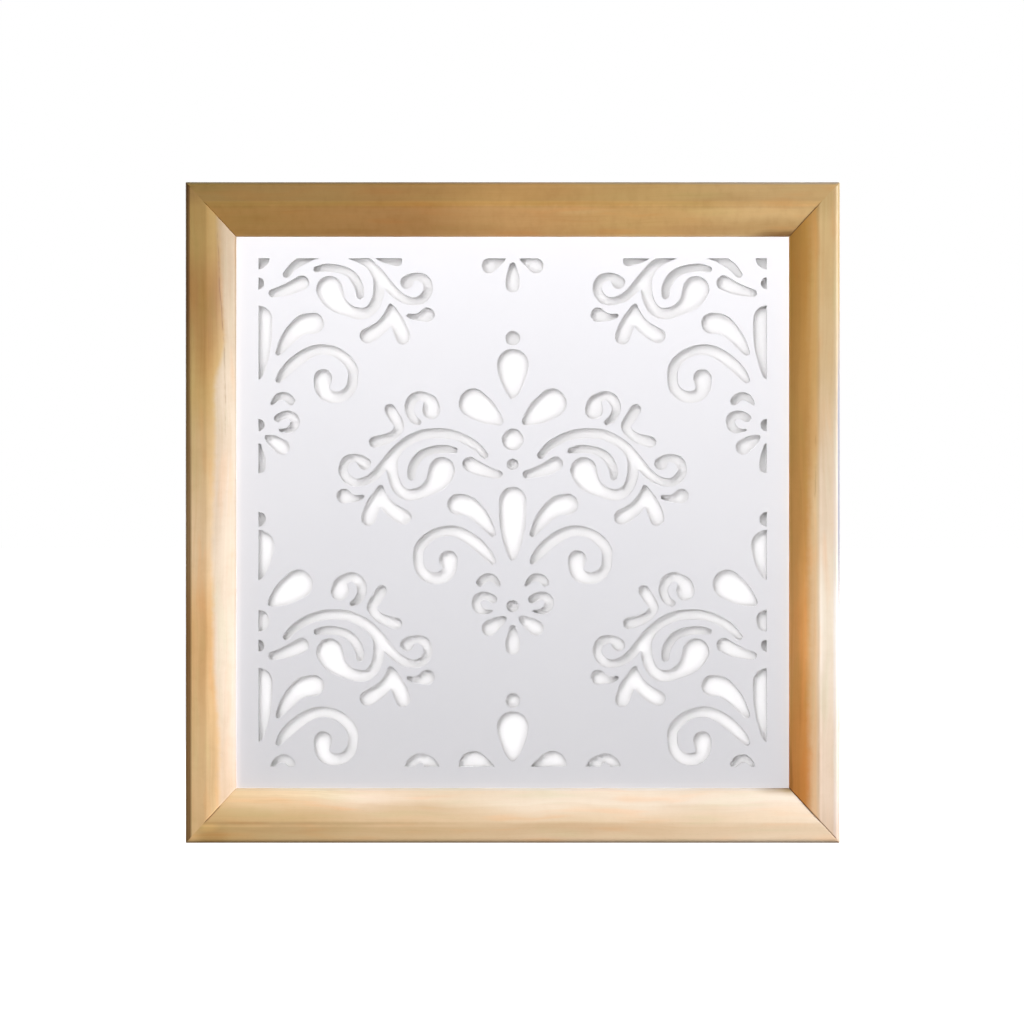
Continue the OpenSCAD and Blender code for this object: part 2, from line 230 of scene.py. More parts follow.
def plate(name, loops, y0, y1, round0, round1, steps=2, place=None, turn=0.0):
    """A flat plate from y0 to y1 with the outline loops[0] and the holes in the other loops, its edges rounded over by
    round0 at y0 and round1 at y1. Every loop has the material on its left. place may turn the plate about the y axis,
    by turn degrees."""
    place = place or (lambda x, y, z: (x, y, z))
    ct, st = math.cos(math.radians(turn)), math.sin(math.radians(turn))
    verts, faces, normals = [], [], []
    sides = []
    for y, sign, r in ((y0, 1, round0), (y1, -1, round1)):
        flat_loops = [offset(l, r) for l in loops]
        co, tris, ids = fill(flat_loops)
        base = len(verts)
        verts += [place(x, y, z) for x, z in co]
        for t in tris:
            # seen from the front, with x right and z up, a counter-clockwise triangle faces -y
            a, b, c = [co[i] for i in t]
            ccw = (b[0] - a[0]) * (c[1] - a[1]) - (b[1] - a[1]) * (c[0] - a[0]) > 0
            t = t if ccw == (sign > 0) else t[::-1]
            faces.append([i + base for i in t])
            normals += [(0, -sign, 0)] * 3
        rings = [[[i + base for i in loop] for loop in ids]]
        angles = [90.0]
        if r > 0:
            for k in range(1, steps + 1):
                al = 90.0 * (1 - k / steps)
                t, s = r * (1 - math.cos(math.radians(al))), r * (1 - math.sin(math.radians(al)))
                ring = []
                for l in loops:
                    q = offset(l, t) if t > 1e-6 else l
                    ring.append(list(range(len(verts), len(verts) + len(q))))
                    verts += [place(x, y + sign * s, z) for x, z in q]
                rings.append(ring)
                angles.append(al)
        sides.append((rings, angles, sign))
    # strips: front face ring -> wall -> back face ring
    order = [(r, a, -1.0) for r, a in zip(sides[0][0], sides[0][1])] + [(r, a, 1.0) for r, a in zip(sides[1][0][::-1], sides[1][1][::-1])]
    if round0 <= 0:
        order[0] = (order[0][0], 0.0, -1.0)
    if round1 <= 0:
        order[-1] = (order[-1][0], 0.0, 1.0)
    for li, loop in enumerate(loops):
        en = edge_normals(loop)
        n = len(loop)
        out = []
        for i in range(n):
            j = (i + 1) % n
            here = (-en[i][0], -en[i][1])
            ends = []
            for a, b in ((i - 1, i), (i, j)):
                dot = en[a][0] * en[b][0] + en[a][1] * en[b][1]
                if dot > 0.8:
                    m = (-(en[a][0] + en[b][0]), -(en[a][1] + en[b][1]))
                    l = math.hypot(*m)
                    ends.append((m[0] / l, m[1] / l))
                else:
                    ends.append(here)
            out.append(ends)
        for (ra, aa, sa), (rb, ab, sb) in zip(order, order[1:]):
            if ra is rb:
                continue
            for i in range(n):
                j = (i + 1) % n
                corner = [(ra[li][i], aa, sa, 0), (rb[li][i], ab, sb, 0), (rb[li][j], ab, sb, 1), (ra[li][j], aa, sa, 1)]
                seen, face, ns = set(), [], []
                for v, al, sg, e in corner:
                    if v in seen:
                        continue
                    seen.add(v)
                    face.append(v)
                    c, s = math.cos(math.radians(al)), math.sin(math.radians(al))
                    nx, nz = out[i][e][0] * c, out[i][e][1] * c
                    ns.append((nx * ct - nz * st, sg * s, nx * st + nz * ct))
                if len(face) > 2:
                    faces.append(face)
                    normals += ns
    ob = mesh(name, verts, faces, normals)
    return ob


# ------------------------------------------------------------------ material helpers
class Shader:
    """Builds one procedural material, node by node."""

    def __init__(self, name):
        self.mat = bpy.data.materials.new(name)
        self.mat.use_nodes = True
        self.tree = self.mat.node_tree
        self.tree.nodes.clear()
        self.out = self.tree.nodes.new("ShaderNodeOutputMaterial")
        self.bsdf = self.tree.nodes.new("ShaderNodeBsdfPrincipled")
        self.tree.links.new(self.bsdf.outputs[0], self.out.inputs[0])
        tc = self.tree.nodes.new("ShaderNodeTexCoord")
        mm = self.node("ShaderNodeVectorMath", operation="SCALE")
        self.tree.links.new(tc.outputs["Object"], mm.inputs[0])
        mm.inputs["Scale"].default_value = 1000.0
        sep = self.node("ShaderNodeSeparateXYZ")
        self.tree.links.new(mm.outputs[0], sep.inputs[0])
        self.p = mm.outputs[0]
        self.x, self.y, self.z = sep.outputs

    def node(self, kind, **props):
        n = self.tree.nodes.new(kind)
        for k, v in props.items():
            setattr(n, k, v)
        return n

    def put(self, socket, value):
        if isinstance(value, bpy.types.NodeSocket):
            self.tree.links.new(value, socket)
        elif isinstance(value, (tuple, list)) and len(value) == 3 and len(socket.default_value) == 4:
            socket.default_value = (*value, 1.0)
        else:
            socket.default_value = value

    def math(self, op, a, b=None, c=None, clamp=False):
        n = self.node("ShaderNodeMath", operation=op, use_clamp=clamp)
        for s, v in zip(n.inputs, (a, b, c)):
            if v is not None:
                self.put(s, v)
        return n.outputs[0]

    def add(self, a, b): return self.math("ADD", a, b)
    def sub(self, a, b): return self.math("SUBTRACT", a, b)
    def mul(self, a, b): return self.math("MULTIPLY", a, b)

    def vec(self, x, y, z):
        n = self.node("ShaderNodeCombineXYZ")
        for s, v in zip(n.inputs, (x, y, z)):
            self.put(s, v)
        return n.outputs[0]

    def noise(self, v, detail=2.0, rough=0.5, distort=0.0):
        n = self.node("ShaderNodeTexNoise")
        self.put(n.inputs["Vector"], v)
        n.inputs["Scale"].default_value = 1.0
        n.inputs["Detail"].default_value = detail
        n.inputs["Roughness"].default_value = rough
        n.inputs["Distortion"].default_value = distort
        return n.outputs["Fac"]

    def ramp(self, fac, stops, smooth=True):
        n = self.node("ShaderNodeValToRGB")
        n.color_ramp.interpolation = "EASE" if smooth else "LINEAR"
        e = n.color_ramp.elements
        while len(e) < len(stops):
            e.new(0.5)
        for el, (pos, col) in zip(e, stops):
            el.position = pos
            el.color = (*col, 1.0) if isinstance(col, (tuple, list)) else (col, col, col, 1.0)
        self.put(n.inputs[0], fac)
        return n.outputs[0]

    def remap(self, v, a, b, c=0.0, d=1.0, smooth=True):
        n = self.node("ShaderNodeMapRange", interpolation_type="SMOOTHSTEP" if smooth else "LINEAR")
        self.put(n.inputs["Value"], v)
        for k, x in zip(("From Min", "From Max", "To Min", "To Max"), (a, b, c, d)):
            self.put(n.inputs[k], x)
        return n.outputs[0]

    def path(self, t, stops):
        """A length in millimetres that changes along t: stops are (place, length up to 60)."""
        return self.mul(self.ramp(t, [(p, v / 60.0) for p, v in stops]), 60.0)

    def mix(self, fac, a, b, how="MIX"):
        n = self.node("ShaderNodeMix", data_type="RGBA", blend_type=how)
        self.put(n.inputs["Factor"], fac)
        self.put(n.inputs[6], a)
        self.put(n.inputs[7], b)
        return n.outputs[2]

    def tint(self, col, fac, colour):
        """Multiplies col by colour where fac is 1."""
        return self.mix(fac, col, colour, "MULTIPLY")

    def bump(self, height, dist, strength=1.0):
        n = self.node("ShaderNodeBump")
        n.inputs["Strength"].default_value = strength
        n.inputs["Distance"].default_value = dist * 0.001
        self.put(n.inputs["Height"], height)
        self.put(self.bsdf.inputs["Normal"], n.outputs[0])

    def set(self, **values):
        for k, v in values.items():
            self.put(self.bsdf.inputs[k.replace("_", " ")], v)
        return self.mat


def paint(ob, mat):
    ob.data.materials.clear()
    ob.data.materials.append(mat)


def wood(name, length, along, across, seed, band, slope, edge, pith, rings=0.3, mottle=0.4, lines=(), patches=(), rim=None, lip=None,
         middle=None, soft=1.6, crease=None, stripe=None, arris_grey_shade=None, mitre=(None, None), outer_side_shade=None, ratio=1.0):
    """Clear-lacquered softwood. along and across name the row-frame expressions for the distance along the piece from
    its middle and inwards from its outer edge. band and slope are tone ramps along the piece; slope takes over past
    edge, a list of (place along the piece, distance across). pith is the growth rings' centre in (across, depth). lines
    are fine
    dark streaks: (first and last place, path, strength). patches are areas of another tone, some of them painted shadow
    and some painted sheen: (u, a, half-length, half-width, colour). rim and lip paint light and shade on the outer
    arris
    and on the sight edge: (width, colour). middle is a third tone ramp between the band and the slope, with the
    distance where it starts and the half-width of that change. soft is the half-width of the change to the slope.
    crease is (painted highlight line's distance, painted shade line's distance, strength at the low end, strength at
    the high end)
    where the slope starts: the light and shade of a small step there. stripe is one line of another tone: (distance,
    half-width, colour, and two places along the piece between which it fades out). arris_grey_shade is painted grey
    shade
    on the outermost arris: (place along the piece, half-length, colour). outer_side_shade is painted shade on the outer
    side. mitre gives (width, colour) of the line beside each end's mitre on the slope, or from a third value onwards up
    to a fourth: a dark line is dirt in the joint, a pale one a painted highlight where the cut edge catches light.
    ratio is the mitre's run along the piece for each unit across."""
    s = Shader(name)
    u = along(s)
    a = across(s)
    d = s.add(s.y, 9.0)
    t = s.remap(u, -length / 2, length / 2, smooth=False)
    # slow wander of the grain along the piece
    drift = s.noise(s.vec(s.mul(u, 0.006), s.mul(a, 0.015), seed), 2.0, 0.5)
    wav = s.noise(s.vec(s.mul(u, 0.03), s.mul(a, 0.05), seed + 7.3), 2.0, 0.5)
    quiver = s.noise(s.vec(s.mul(u, 0.25), s.mul(a, 0.2), seed + 31.0), 2.0, 0.6)
    shift = s.add(s.mul(s.sub(drift, 0.5), 16.0), s.mul(s.sub(wav, 0.5), 2.6))
    aw = s.add(a, shift)
    # growth rings: distance from the pith line, early wood fading into a narrow late wood band
    ra = s.sub(aw, pith[0])
    rd = s.sub(d, pith[1])
    r = s.math("SQRT", s.add(s.mul(ra, ra), s.mul(rd, rd)))
    uneven = s.noise(s.vec(seed * 3.1, s.mul(r, 0.11), 0.0), 1.0, 0.5)
    ring = s.math("FRACT", s.add(s.mul(r, 1 / 6.5), s.mul(uneven, 1.6)))
    late = s.ramp(ring, [(0.0, 0.0), (0.45, 0.12), (0.86, 1.0), (1.0, 0.0)])
    # fibres, cloudy figure and short cross-grain shimmer
    fib = s.noise(s.vec(s.mul(u, 0.02), s.mul(aw, 1.1), s.add(s.mul(d, 1.1), seed)), 4.0, 0.55)
    fine = s.noise(s.vec(s.mul(u, 0.06), s.mul(aw, 4.5), s.add(s.mul(d, 4.5), seed + 3.0)), 3.0, 0.6)
    broad = s.noise(s.vec(s.mul(u, 0.014), s.mul(aw, 0.10), s.add(s.mul(d, 0.1), seed + 11.0)), 2.0, 0.5)
    hue = s.noise(s.vec(s.mul(u, 0.022), s.mul(aw, 0.16), s.add(s.mul(d, 0.1), seed + 17.0)), 2.0, 0.5)
    shimmer = s.noise(s.vec(s.mul(u, 0.20), s.mul(aw, 0.13), s.add(s.mul(d, 0.1), seed + 21.0)), 3.0, 0.55)
    flecks = s.noise(s.vec(s.mul(u, 0.35), s.mul(aw, 6.0), s.add(s.mul(d, 6.0), seed + 5.0)), 1.0, 0.5)
    # tone
    limit = s.add(s.path(t, edge), s.add(s.mul(s.sub(wav, 0.5), 3.0), s.mul(s.sub(quiver, 0.5), 2.0)))
    slopeness = s.remap(s.sub(a, limit), -soft, soft)
    col = s.ramp(t, band)
    if middle:
        col = s.mix(s.remap(s.add(a, s.mul(s.sub(wav, 0.5), 0.8)), middle[0] - middle[1], middle[0] + middle[1]), col, s.ramp(t, middle[2]))
    col = s.mix(slopeness, col, s.ramp(t, slope))
    col = s.tint(col, s.remap(broad, 0.45, 0.72), (0.94, 0.91, 0.87))
    col = s.tint(col, s.remap(broad, 0.5, 0.25), (1.03, 1.04, 1.06))
    col = s.tint(col, s.remap(hue, 0.52, 0.75), (1.04, 0.95, 0.88))
    col = s.tint(col, s.remap(hue, 0.48, 0.25), (0.96, 1.01, 0.98))
    # areas of another tone; some are painted shadow in the inner corners and some painted sheen on the slopes
    for pu, pa, su, sa, pc in patches:
        eu = s.mul(s.sub(u, pu), 1.0 / su)
        ea = s.mul(s.sub(s.add(a, s.mul(s.sub(wav, 0.5), 6.0)), pa), 1.0 / sa)
        dist = s.math("SQRT", s.add(s.mul(eu, eu), s.mul(ea, ea)))
        m = s.mul(s.remap(dist, 1.0, 0.15), s.remap(fib, 0.25, 0.6, 0.75, 1.0))
        col = s.tint(col, m, pc)
    col = s.tint(col, s.mul(late, rings), (0.90, 0.835, 0.74))
    col = s.tint(col, s.remap(shimmer, 0.45, 0.75, 0.0, mottle), (0.91, 0.88, 0.83))
    col = s.tint(col, s.remap(shimmer, 0.48, 0.25, 0.0, mottle), (1.05, 1.06, 1.08))
    col = s.tint(col, s.remap(fib, 0.5, 0.75, 0.0, 0.32), (0.90, 0.85, 0.77))
    col = s.tint(col, s.remap(fib, 0.45, 0.25, 0.0, 0.32), (1.05, 1.07, 1.10))
    col = s.tint(col, s.remap(fine, 0.55, 0.8, 0.0, 0.4), (0.90, 0.85, 0.79))
    col = s.tint(col, s.remap(flecks, 0.67, 0.75, 0.0, 0.3), (0.72, 0.62, 0.50))
    dark = None
    for t0, t1, path, strength in lines:
        way = s.add(s.path(t, path), s.add(s.mul(s.sub(wav, 0.5), 1.2), s.mul(s.sub(quiver, 0.5), 0.7)))
        gap = s.math("ABSOLUTE", s.sub(a, way))
        core = s.remap(gap, 0.34, 0.06)
        halo = s.remap(gap, 1.5, 0.0, 0.0, 0.3)
        breakup_and_highlight_line = s.remap(s.noise(s.vec(s.mul(u, 0.06), seed + t0 * 9.0, 0.0), 3.0, 0.6), 0.36, 0.6)
        ends = s.mul(s.remap(t, t0, t0 + 0.03), s.remap(t, t1, t1 - 0.03))
        m = s.mul(s.mul(s.math("MAXIMUM", core, halo), s.mul(breakup_and_highlight_line, ends)), strength)
        col = s.tint(col, m, (0.55, 0.42, 0.30))
        line = s.mul(core, s.mul(breakup_and_highlight_line, ends))
        dark = line if dark is None else s.math("MAXIMUM", dark, line)
    # one line of another tone; on the left stile it is painted shade beside the outer arris
    if stripe:
        m = s.remap(s.math("ABSOLUTE", s.sub(a, stripe[0])), stripe[1], stripe[1] * 0.35)
        if len(stripe) > 3:
            m = s.mul(m, s.remap(t, stripe[4], stripe[3]))
        col = s.tint(col, m, stripe[2])
    # painted highlight and painted shade lines where the slope starts: the light and shade of a small step there
    if crease:
        live = s.remap(s.noise(s.vec(s.mul(u, 0.035), seed + 50.0, 0.0), 3.0, 0.6), 0.3, 0.62, 0.35, 1.0)
        live = s.mul(live, s.remap(t, 0.15, 0.55, crease[2], crease[3]))
        breakup_and_highlight_line = s.remap(s.math("ABSOLUTE", s.sub(a, crease[0])), 1.1, 0.3)
        crease_shade_line = s.remap(s.math("ABSOLUTE", s.sub(a, crease[1])), 1.1, 0.1)
        col = s.tint(col, s.mul(breakup_and_highlight_line, live), (1.15, 1.18, 1.28))
        col = s.tint(col, s.mul(crease_shade_line, live), (0.86, 0.82, 0.76))
    # painted grey shade along the outermost arris, strongest in the middle of its run
    if arris_grey_shade:
        far = s.math("ABSOLUTE", s.mul(s.sub(u, arris_grey_shade[0]), 1.0 / arris_grey_shade[1]))
        m = s.mul(s.remap(a, 1.6, 1.1), s.remap(far, 1.0, 0.3))
        col = s.mix(s.mul(m, s.remap(d, 3.4, 2.6)), col, arris_grey_shade[2])
    # a line beside each mitre on the slope: dark ones are dirt in the joint, pale ones painted highlight along the cut
    # edge
    for end, line in enumerate(mitre):
        if line:
            off = s.sub(s.add(s.mul(u, -1.0 if end else 1.0), length / 2), s.mul(a, ratio))
            start = line[2] if len(line) > 2 else 12.0
            along_it = s.remap(a, start, start + 1.5)
            if len(line) > 3:
                along_it = s.mul(along_it, s.remap(a, line[3] + 3.0, line[3]))
            col = s.tint(col, s.mul(s.remap(off, line[0], line[0] * 0.4), along_it), line[1])
    # painted shade darkening the outer side of the piece
    if outer_side_shade:
        col = s.tint(col, s.mul(s.remap(a, 0.6, 0.3), s.remap(d, 3.0, 4.2)), outer_side_shade)
    # painted light and shade: on the outer arris (rim) and on the sight edge (lip)
    if rim:
        col = s.tint(col, s.mul(s.remap(a, rim[0], rim[0] * 0.7), s.remap(s.y, 7.0, -2.0, 0.3, 1.0)), rim[1])
    if lip:
        col = s.tint(col, s.mul(s.remap(a, lip[0], lip[0] + 0.8), s.remap(s.y, 3.0, 0.5)), lip[1])
    rough = s.add(s.remap(fib, 0.25, 0.75, 0.40, 0.52), s.mul(late, -0.04))
    height = s.add(s.add(s.mul(fib, 0.55), s.mul(fine, 0.35)), s.mul(late, 0.30))
    if dark is not None:
        height = s.sub(height, s.mul(dark, 0.8))
    s.bump(height, 0.05, 0.6)
    return s.set(Base_Color=col, Roughness=rough, Specular_IOR_Level=0.35, Coat_Weight=0.12, Coat_Roughness=0.26)


def white_lacquer(name, base, rough, seed, grain=0.012):
    """Sprayed satin white on wood-fibre board: faint orange peel, hardly any mottle."""
    s = Shader(name)
    peel = s.noise(s.vec(s.mul(s.x, 0.9), s.mul(s.y, 0.9), s.add(s.mul(s.z, 0.9), seed)), 3.0, 0.5)
    cloud = s.noise(s.vec(s.mul(s.x, 0.012), s.mul(s.y, 0.05), s.add(s.mul(s.z, 0.012), seed)), 2.0, 0.5)
    dust = s.noise(s.vec(s.mul(s.x, 3.2), s.mul(s.y, 3.2), s.add(s.mul(s.z, 3.2), seed + 4.0)), 1.0, 0.5)
    col = s.tint(base, s.remap(cloud, 0.35, 0.7, 0.0, 0.6), (0.985, 0.985, 0.988))
    col = s.tint(col, s.remap(dust, 0.68, 0.76, 0.0, 0.25), (0.93, 0.93, 0.93))
    s.bump(s.add(peel, s.mul(dust, 0.15)), grain, 0.6)
    return s.set(Base_Color=col, Roughness=s.remap(peel, 0.3, 0.7, rough - 0.04, rough + 0.05))


def sawn_edge(name, seed):
    """Cut edge of the fretwork board with the saw's marks across it, under a thin seal. Its dark grey is painted shade:
    it keeps the walls from throwing light into the holes, so the shade in them stays deep.
    """
    s = Shader(name)
    marks = s.noise(s.vec(s.mul(s.x, 3.0), s.mul(s.y, 0.25), s.add(s.mul(s.z, 3.0), seed)), 3.0, 0.6)
    fib = s.noise(s.vec(s.mul(s.x, 1.1), s.mul(s.y, 3.5), s.add(s.mul(s.z, 1.1), seed + 6.0)), 4.0, 0.6)
    col = s.ramp(s.add(s.mul(marks, 0.5), s.mul(fib, 0.5)), [(0.3, (0.09, 0.085, 0.083)), (0.5, (0.14, 0.135, 0.132)), (0.72, (0.21, 0.20, 0.195))])
    s.bump(s.add(marks, s.mul(fib, 0.5)), 0.04, 0.6)
    return s.set(Base_Color=col, Roughness=s.remap(fib, 0.3, 0.7, 0.55, 0.72), Specular_IOR_Level=0.3)


def fibre_board(name, seed):
    """White-faced hardboard: white in front, bare brown fibre on its edges and back."""
    s = Shader(name)
    fib = s.noise(s.vec(s.mul(s.x, 0.55), s.mul(s.y, 0.8), s.add(s.mul(s.z, 0.7), seed)), 5.0, 0.62, 1.2)
    hair = s.noise(s.vec(s.mul(s.x, 2.6), s.mul(s.y, 2.6), s.add(s.mul(s.z, 1.1), seed)), 3.0, 0.6, 2.0)
    cloud = s.noise(s.vec(s.mul(s.x, 0.02), s.mul(s.y, 0.02), s.add(s.mul(s.z, 0.02), seed)), 2.0, 0.5)
    brown = s.ramp(s.add(s.mul(fib, 0.6), s.mul(hair, 0.4)), [(0.3, (0.20, 0.115, 0.055)), (0.5, (0.31, 0.19, 0.10)), (0.72, (0.43, 0.29, 0.17))])
    brown = s.tint(brown, s.remap(cloud, 0.35, 0.7, 0.0, 0.7), (0.86, 0.84, 0.80))
    white = s.tint((0.94, 0.925, 0.938), s.remap(fib, 0.4, 0.75, 0.0, 0.35), (0.975, 0.972, 0.970))
    col = s.mix(s.remap(s.y, 5.12, 5.2), white, brown)
    s.bump(s.add(s.mul(fib, 0.6), s.mul(hair, 0.5)), 0.05, 0.5)
    return s.set(Base_Color=col, Roughness=s.remap(fib, 0.3, 0.7, 0.62, 0.78))


def metal(name, base, rough, seed, stain, brush=(0.1, 3.0, 3.0), dull=0.35):
    """Plated metal: drawn lines, a little clouding, and duller spots."""
    s = Shader(name)
    lines = s.noise(s.vec(s.mul(s.x, brush[0] * 4), s.mul(s.y, brush[1] * 4), s.add(s.mul(s.z, brush[2] * 4), seed)), 3.0, 0.6)
    cloud = s.noise(s.vec(s.mul(s.x, 0.35), s.mul(s.y, 0.35), s.add(s.mul(s.z, 0.35), seed + 2.0)), 4.0, 0.6)
    spots = s.noise(s.vec(s.mul(s.x, 1.7), s.mul(s.y, 1.7), s.add(s.mul(s.z, 1.7), seed + 9.0)), 2.0, 0.5)
    col = s.tint(base, s.remap(cloud, 0.4, 0.75, 0.0, 0.8), stain)
    col = s.tint(col, s.remap(spots, 0.62, 0.75, 0.0, dull), (0.55, 0.52, 0.48))
    col = s.tint(col, s.remap(lines, 0.5, 0.8, 0.0, 0.3), (0.8, 0.8, 0.8))
    s.bump(s.add(lines, s.mul(spots, 0.5)), 0.012, 0.5)
    return s.set(Base_Color=col, Metallic=1.0, Roughness=s.add(s.remap(cloud, 0.3, 0.75, rough - 0.05, rough + 0.12), s.mul(lines, 0.06)))


def rubber(name, seed):
    s = Shader(name)
    grit = s.noise(s.vec(s.mul(s.x, 3.5), s.mul(s.y, 3.5), s.add(s.mul(s.z, 3.5), seed)), 4.0, 0.6)
    bloom = s.noise(s.vec(s.mul(s.x, 0.4), s.mul(s.y, 0.4), s.add(s.mul(s.z, 0.4), seed)), 3.0, 0.5)
    col = s.mix(s.remap(bloom, 0.4, 0.75, 0.0, 0.5), (0.022, 0.022, 0.023), (0.075, 0.073, 0.070))
    s.bump(grit, 0.03, 0.6)
    return s.set(Base_Color=col, Roughness=s.remap(bloom, 0.3, 0.7, 0.55, 0.75))


# ------------------------------------------------------------------ timber moulding
def section(w):
    """Closed section of the moulding: [distance from the outer edge, depth below the band]."""
    b, r = BANDS[w] * w, ARRIS
    s0 = b + 1.0
    ln, drop = w - 1.2 - s0, DROP - 0.2
    curve = lambda x: 0.2 + 0.24 * x + (drop / ln - 0.24) * x * x / ln
    p = [(0.35, FRAME_T), (0.1, FRAME_T - 0.1), (0, FRAME_T - 0.35)] + [(0, y) for y in (15.0, 12.0, 9.0, 6.0)]
    p += [(r - r * math.cos(math.radians(9 * i)), r - r * math.sin(math.radians(9 * i))) for i in range(11)]
    turn = b - 0.667                            # where the flat band starts to roll over
    p += [(r + (turn - r) * i / 6, 0.0) for i in range(1, 7)]
    p += [(turn + x, 0.072 * x * x) for x in (0.35, 0.7, 1.05, 1.4)]
    p += [(s0 + ln * i / 24, curve(ln * i / 24)) for i in range(25)]
    p += [(w - 0.9, DROP + 0.19), (w - 0.6, DROP + 0.41), (w - 0.35, DROP + 0.64), (w - 0.15, DROP + 0.92), (w - 0.03, DROP + 1.2), (w, DROP + 1.5)]
    p += [(w, SHOULDER - 0.2), (w - 0.06, SHOULDER - 0.06), (w - 0.2, SHOULDER)]
    p += [(w - RABBET + 0.02, SHOULDER), (w - RABBET, SHOULDER + 0.02)]
    p += [(w - RABBET, y) for y in (14.0, FRAME_T - 0.35)] + [(w - RABBET - 0.1, FRAME_T - 0.1), (w - RABBET - 0.35, FRAME_T)]
    p += [((w - RABBET) * k, FRAME_T) for k in (0.8, 0.6, 0.4, 0.2)]
    return p


def inset(p, t):
    """The section shrunk by t, for the eased ends of a mitre."""
    q = p if area2(p) > 0 else p[::-1]
    out = offset(q, t)
    return out if area2(p) > 0 else out[::-1]


def moulding(name, length, w, side, place, seed, open_band=(False, False)):
    """A mitred piece. place(u, a, d) gives the row-frame point. The mitre is flush across the band, as if filled and
    sanded, and eased everywhere else; open_band eases it across the band too, at the low or the high end."""
    full, small = section(w), inset(section(w), 0.3)
    flush = [f if f[1] < 0.02 and 1.0 < f[0] < BANDS[w] * w + 1 else s for f, s in zip(full, small)]
    ends = [small if o else flush for o in open_band]
    half = lambda a: length / 2 - a * side / w
    n = 110
    rows = [[(-half(a), a, d) for a, d in ends[0]]]
    for i in range(n + 1):
        t = -1 + 2 * i / n
        row = []
        for a, d in full:
            h = half(a) - 0.3
            u = t * h
            fade = min(1.0, (1 - abs(t)) * 12)
            # hand-sanded face: a few hundredths of a millimetre of wave, only ever inwards
            if d < 10.5:
                wave = 0.5 + 0.5 * noise.noise(Vector((u * 0.035, a * 0.12, seed)))
                wave2 = 0.5 + 0.5 * noise.noise(Vector((u * 0.12, a * 0.3, seed + 5)))
                k = fade * (0.07 * wave + 0.02 * wave2)
                if a < 0.3:
                    a = a + k
                elif a > w - 0.3:
                    a = a - k
                else:
                    d = d + k
            row.append((u, a, d))
        rows.append(row)
    rows.append([(half(a), a, d) for a, d in ends[1]])
    m = len(full)
    verts = [place(*c) for row in rows for c in row]
    faces = []
    for i in range(len(rows) - 1):
        for j in range(m):
            k = (j + 1) % m
            faces.append([i * m + j, i * m + k, (i + 1) * m + k, (i + 1) * m + j])
    ob = mesh(name, verts, faces)
    bm = bmesh.new()
    bm.from_mesh(ob.data)
    bm.verts.ensure_lookup_table()
    caps = [bm.faces.new([bm.verts[j] for j in range(m)]), bm.faces.new([bm.verts[(len(rows) - 1) * m + j] for j in range(m)])]
    bmesh.ops.triangulate(bm, faces=caps, ngon_method="EAR_CLIP")
    bmesh.ops.recalc_face_normals(bm, faces=bm.faces)
    bm.to_mesh(ob.data)
    bm.free()
    return ob


NAIL_LEG, NAIL_T, NAIL_H = 6.5, 0.8, 10.0


def nail_cutter():
    """The kerfs of the V-nails, one L-shaped prism each."""
    parts = []
    g = 0.03
    e = NAIL_T / 2 + g
    leg = NAIL_LEG - NAIL_T / 2 + g
    for sx in (-1, 1):
        for top in (0, 1):
            for k in (0.25, 0.58):
                cx = sx * (FRAME_W / 2 - k * STILE_W)
                cz = FRAME_H - k * RAIL_W if top else k * RAIL_W
                ix, iz = -sx, (-1 if top else 1)
                outline = [(-e, -e), (leg, -e), (leg, e), (e, e), (e, leg), (-e, leg)]
                vs = [(cx + ix * a, y, cz + iz * b) for y in (BACK - NAIL_H - g, BACK + 1) for a, b in outline]
                fs = [[i, (i + 1) % 6, 6 + (i + 1) % 6, 6 + i] for i in range(6)]
                fs += [[0, 1, 2, 3], [0, 3, 4, 5], [6, 7, 8, 9], [6, 9, 10, 11]]
                parts.append((vs, fs))
    return parts


def make_cutter(parts):
    ob = mesh("cutter", *join_parts(parts))
    outward(ob)
    return ob


SCREWS = [(x, z, BACK + BUTTON_T) for x, z, _ in BUTTONS.values()] + [(s * HANG_X, HANG_Z - STRAP_L + 6, BACK + STRAP_T) for s in (-1, 1)]
SCREW_L, SCREW_R, HEAD_R, HEAD_H = 12.0, 1.5, 2.9, 1.9


def pilots():
    parts = []
    for x, z, y in SCREWS:
        parts.append(lathe([(0, 0), (1.4, 0), (1.4, -(SCREW_L + 2)), (0, -(SCREW_L + 2))], 24,
                           lambda a, b, h, x=x, z=z, y=y: (x + a, y + 1 + h, z + b)))
    return parts


top = lambda u, a, d: (u, FRONT + d, FRAME_H - a)
bottom = lambda u, a, d: (u, FRONT + d, a)
left = lambda u, a, d: (-FRAME_W / 2 + a, FRONT + d, MID_Z + u)
right = lambda u, a, d: (FRAME_W / 2 - a, FRONT + d, MID_Z + u)
rails = {
    "top_rail": moulding("top_rail_moulding", FRAME_W, RAIL_W, STILE_W, top, 3.0),
    "bottom_rail": moulding("bottom_rail_moulding", FRAME_W, RAIL_W, STILE_W, bottom, 11.0, (False, True)),
    "left_stile": moulding("left_stile_moulding", FRAME_H, STILE_W, RAIL_W, left, 23.0),
    "right_stile": moulding("right_stile_moulding", FRAME_H, STILE_W, RAIL_W, right, 37.0, (True, False)),
}
for node, ob in rails.items():
    cut(ob, make_cutter(nail_cutter()), solver="MANIFOLD")
    cut(ob, make_cutter(pilots()))

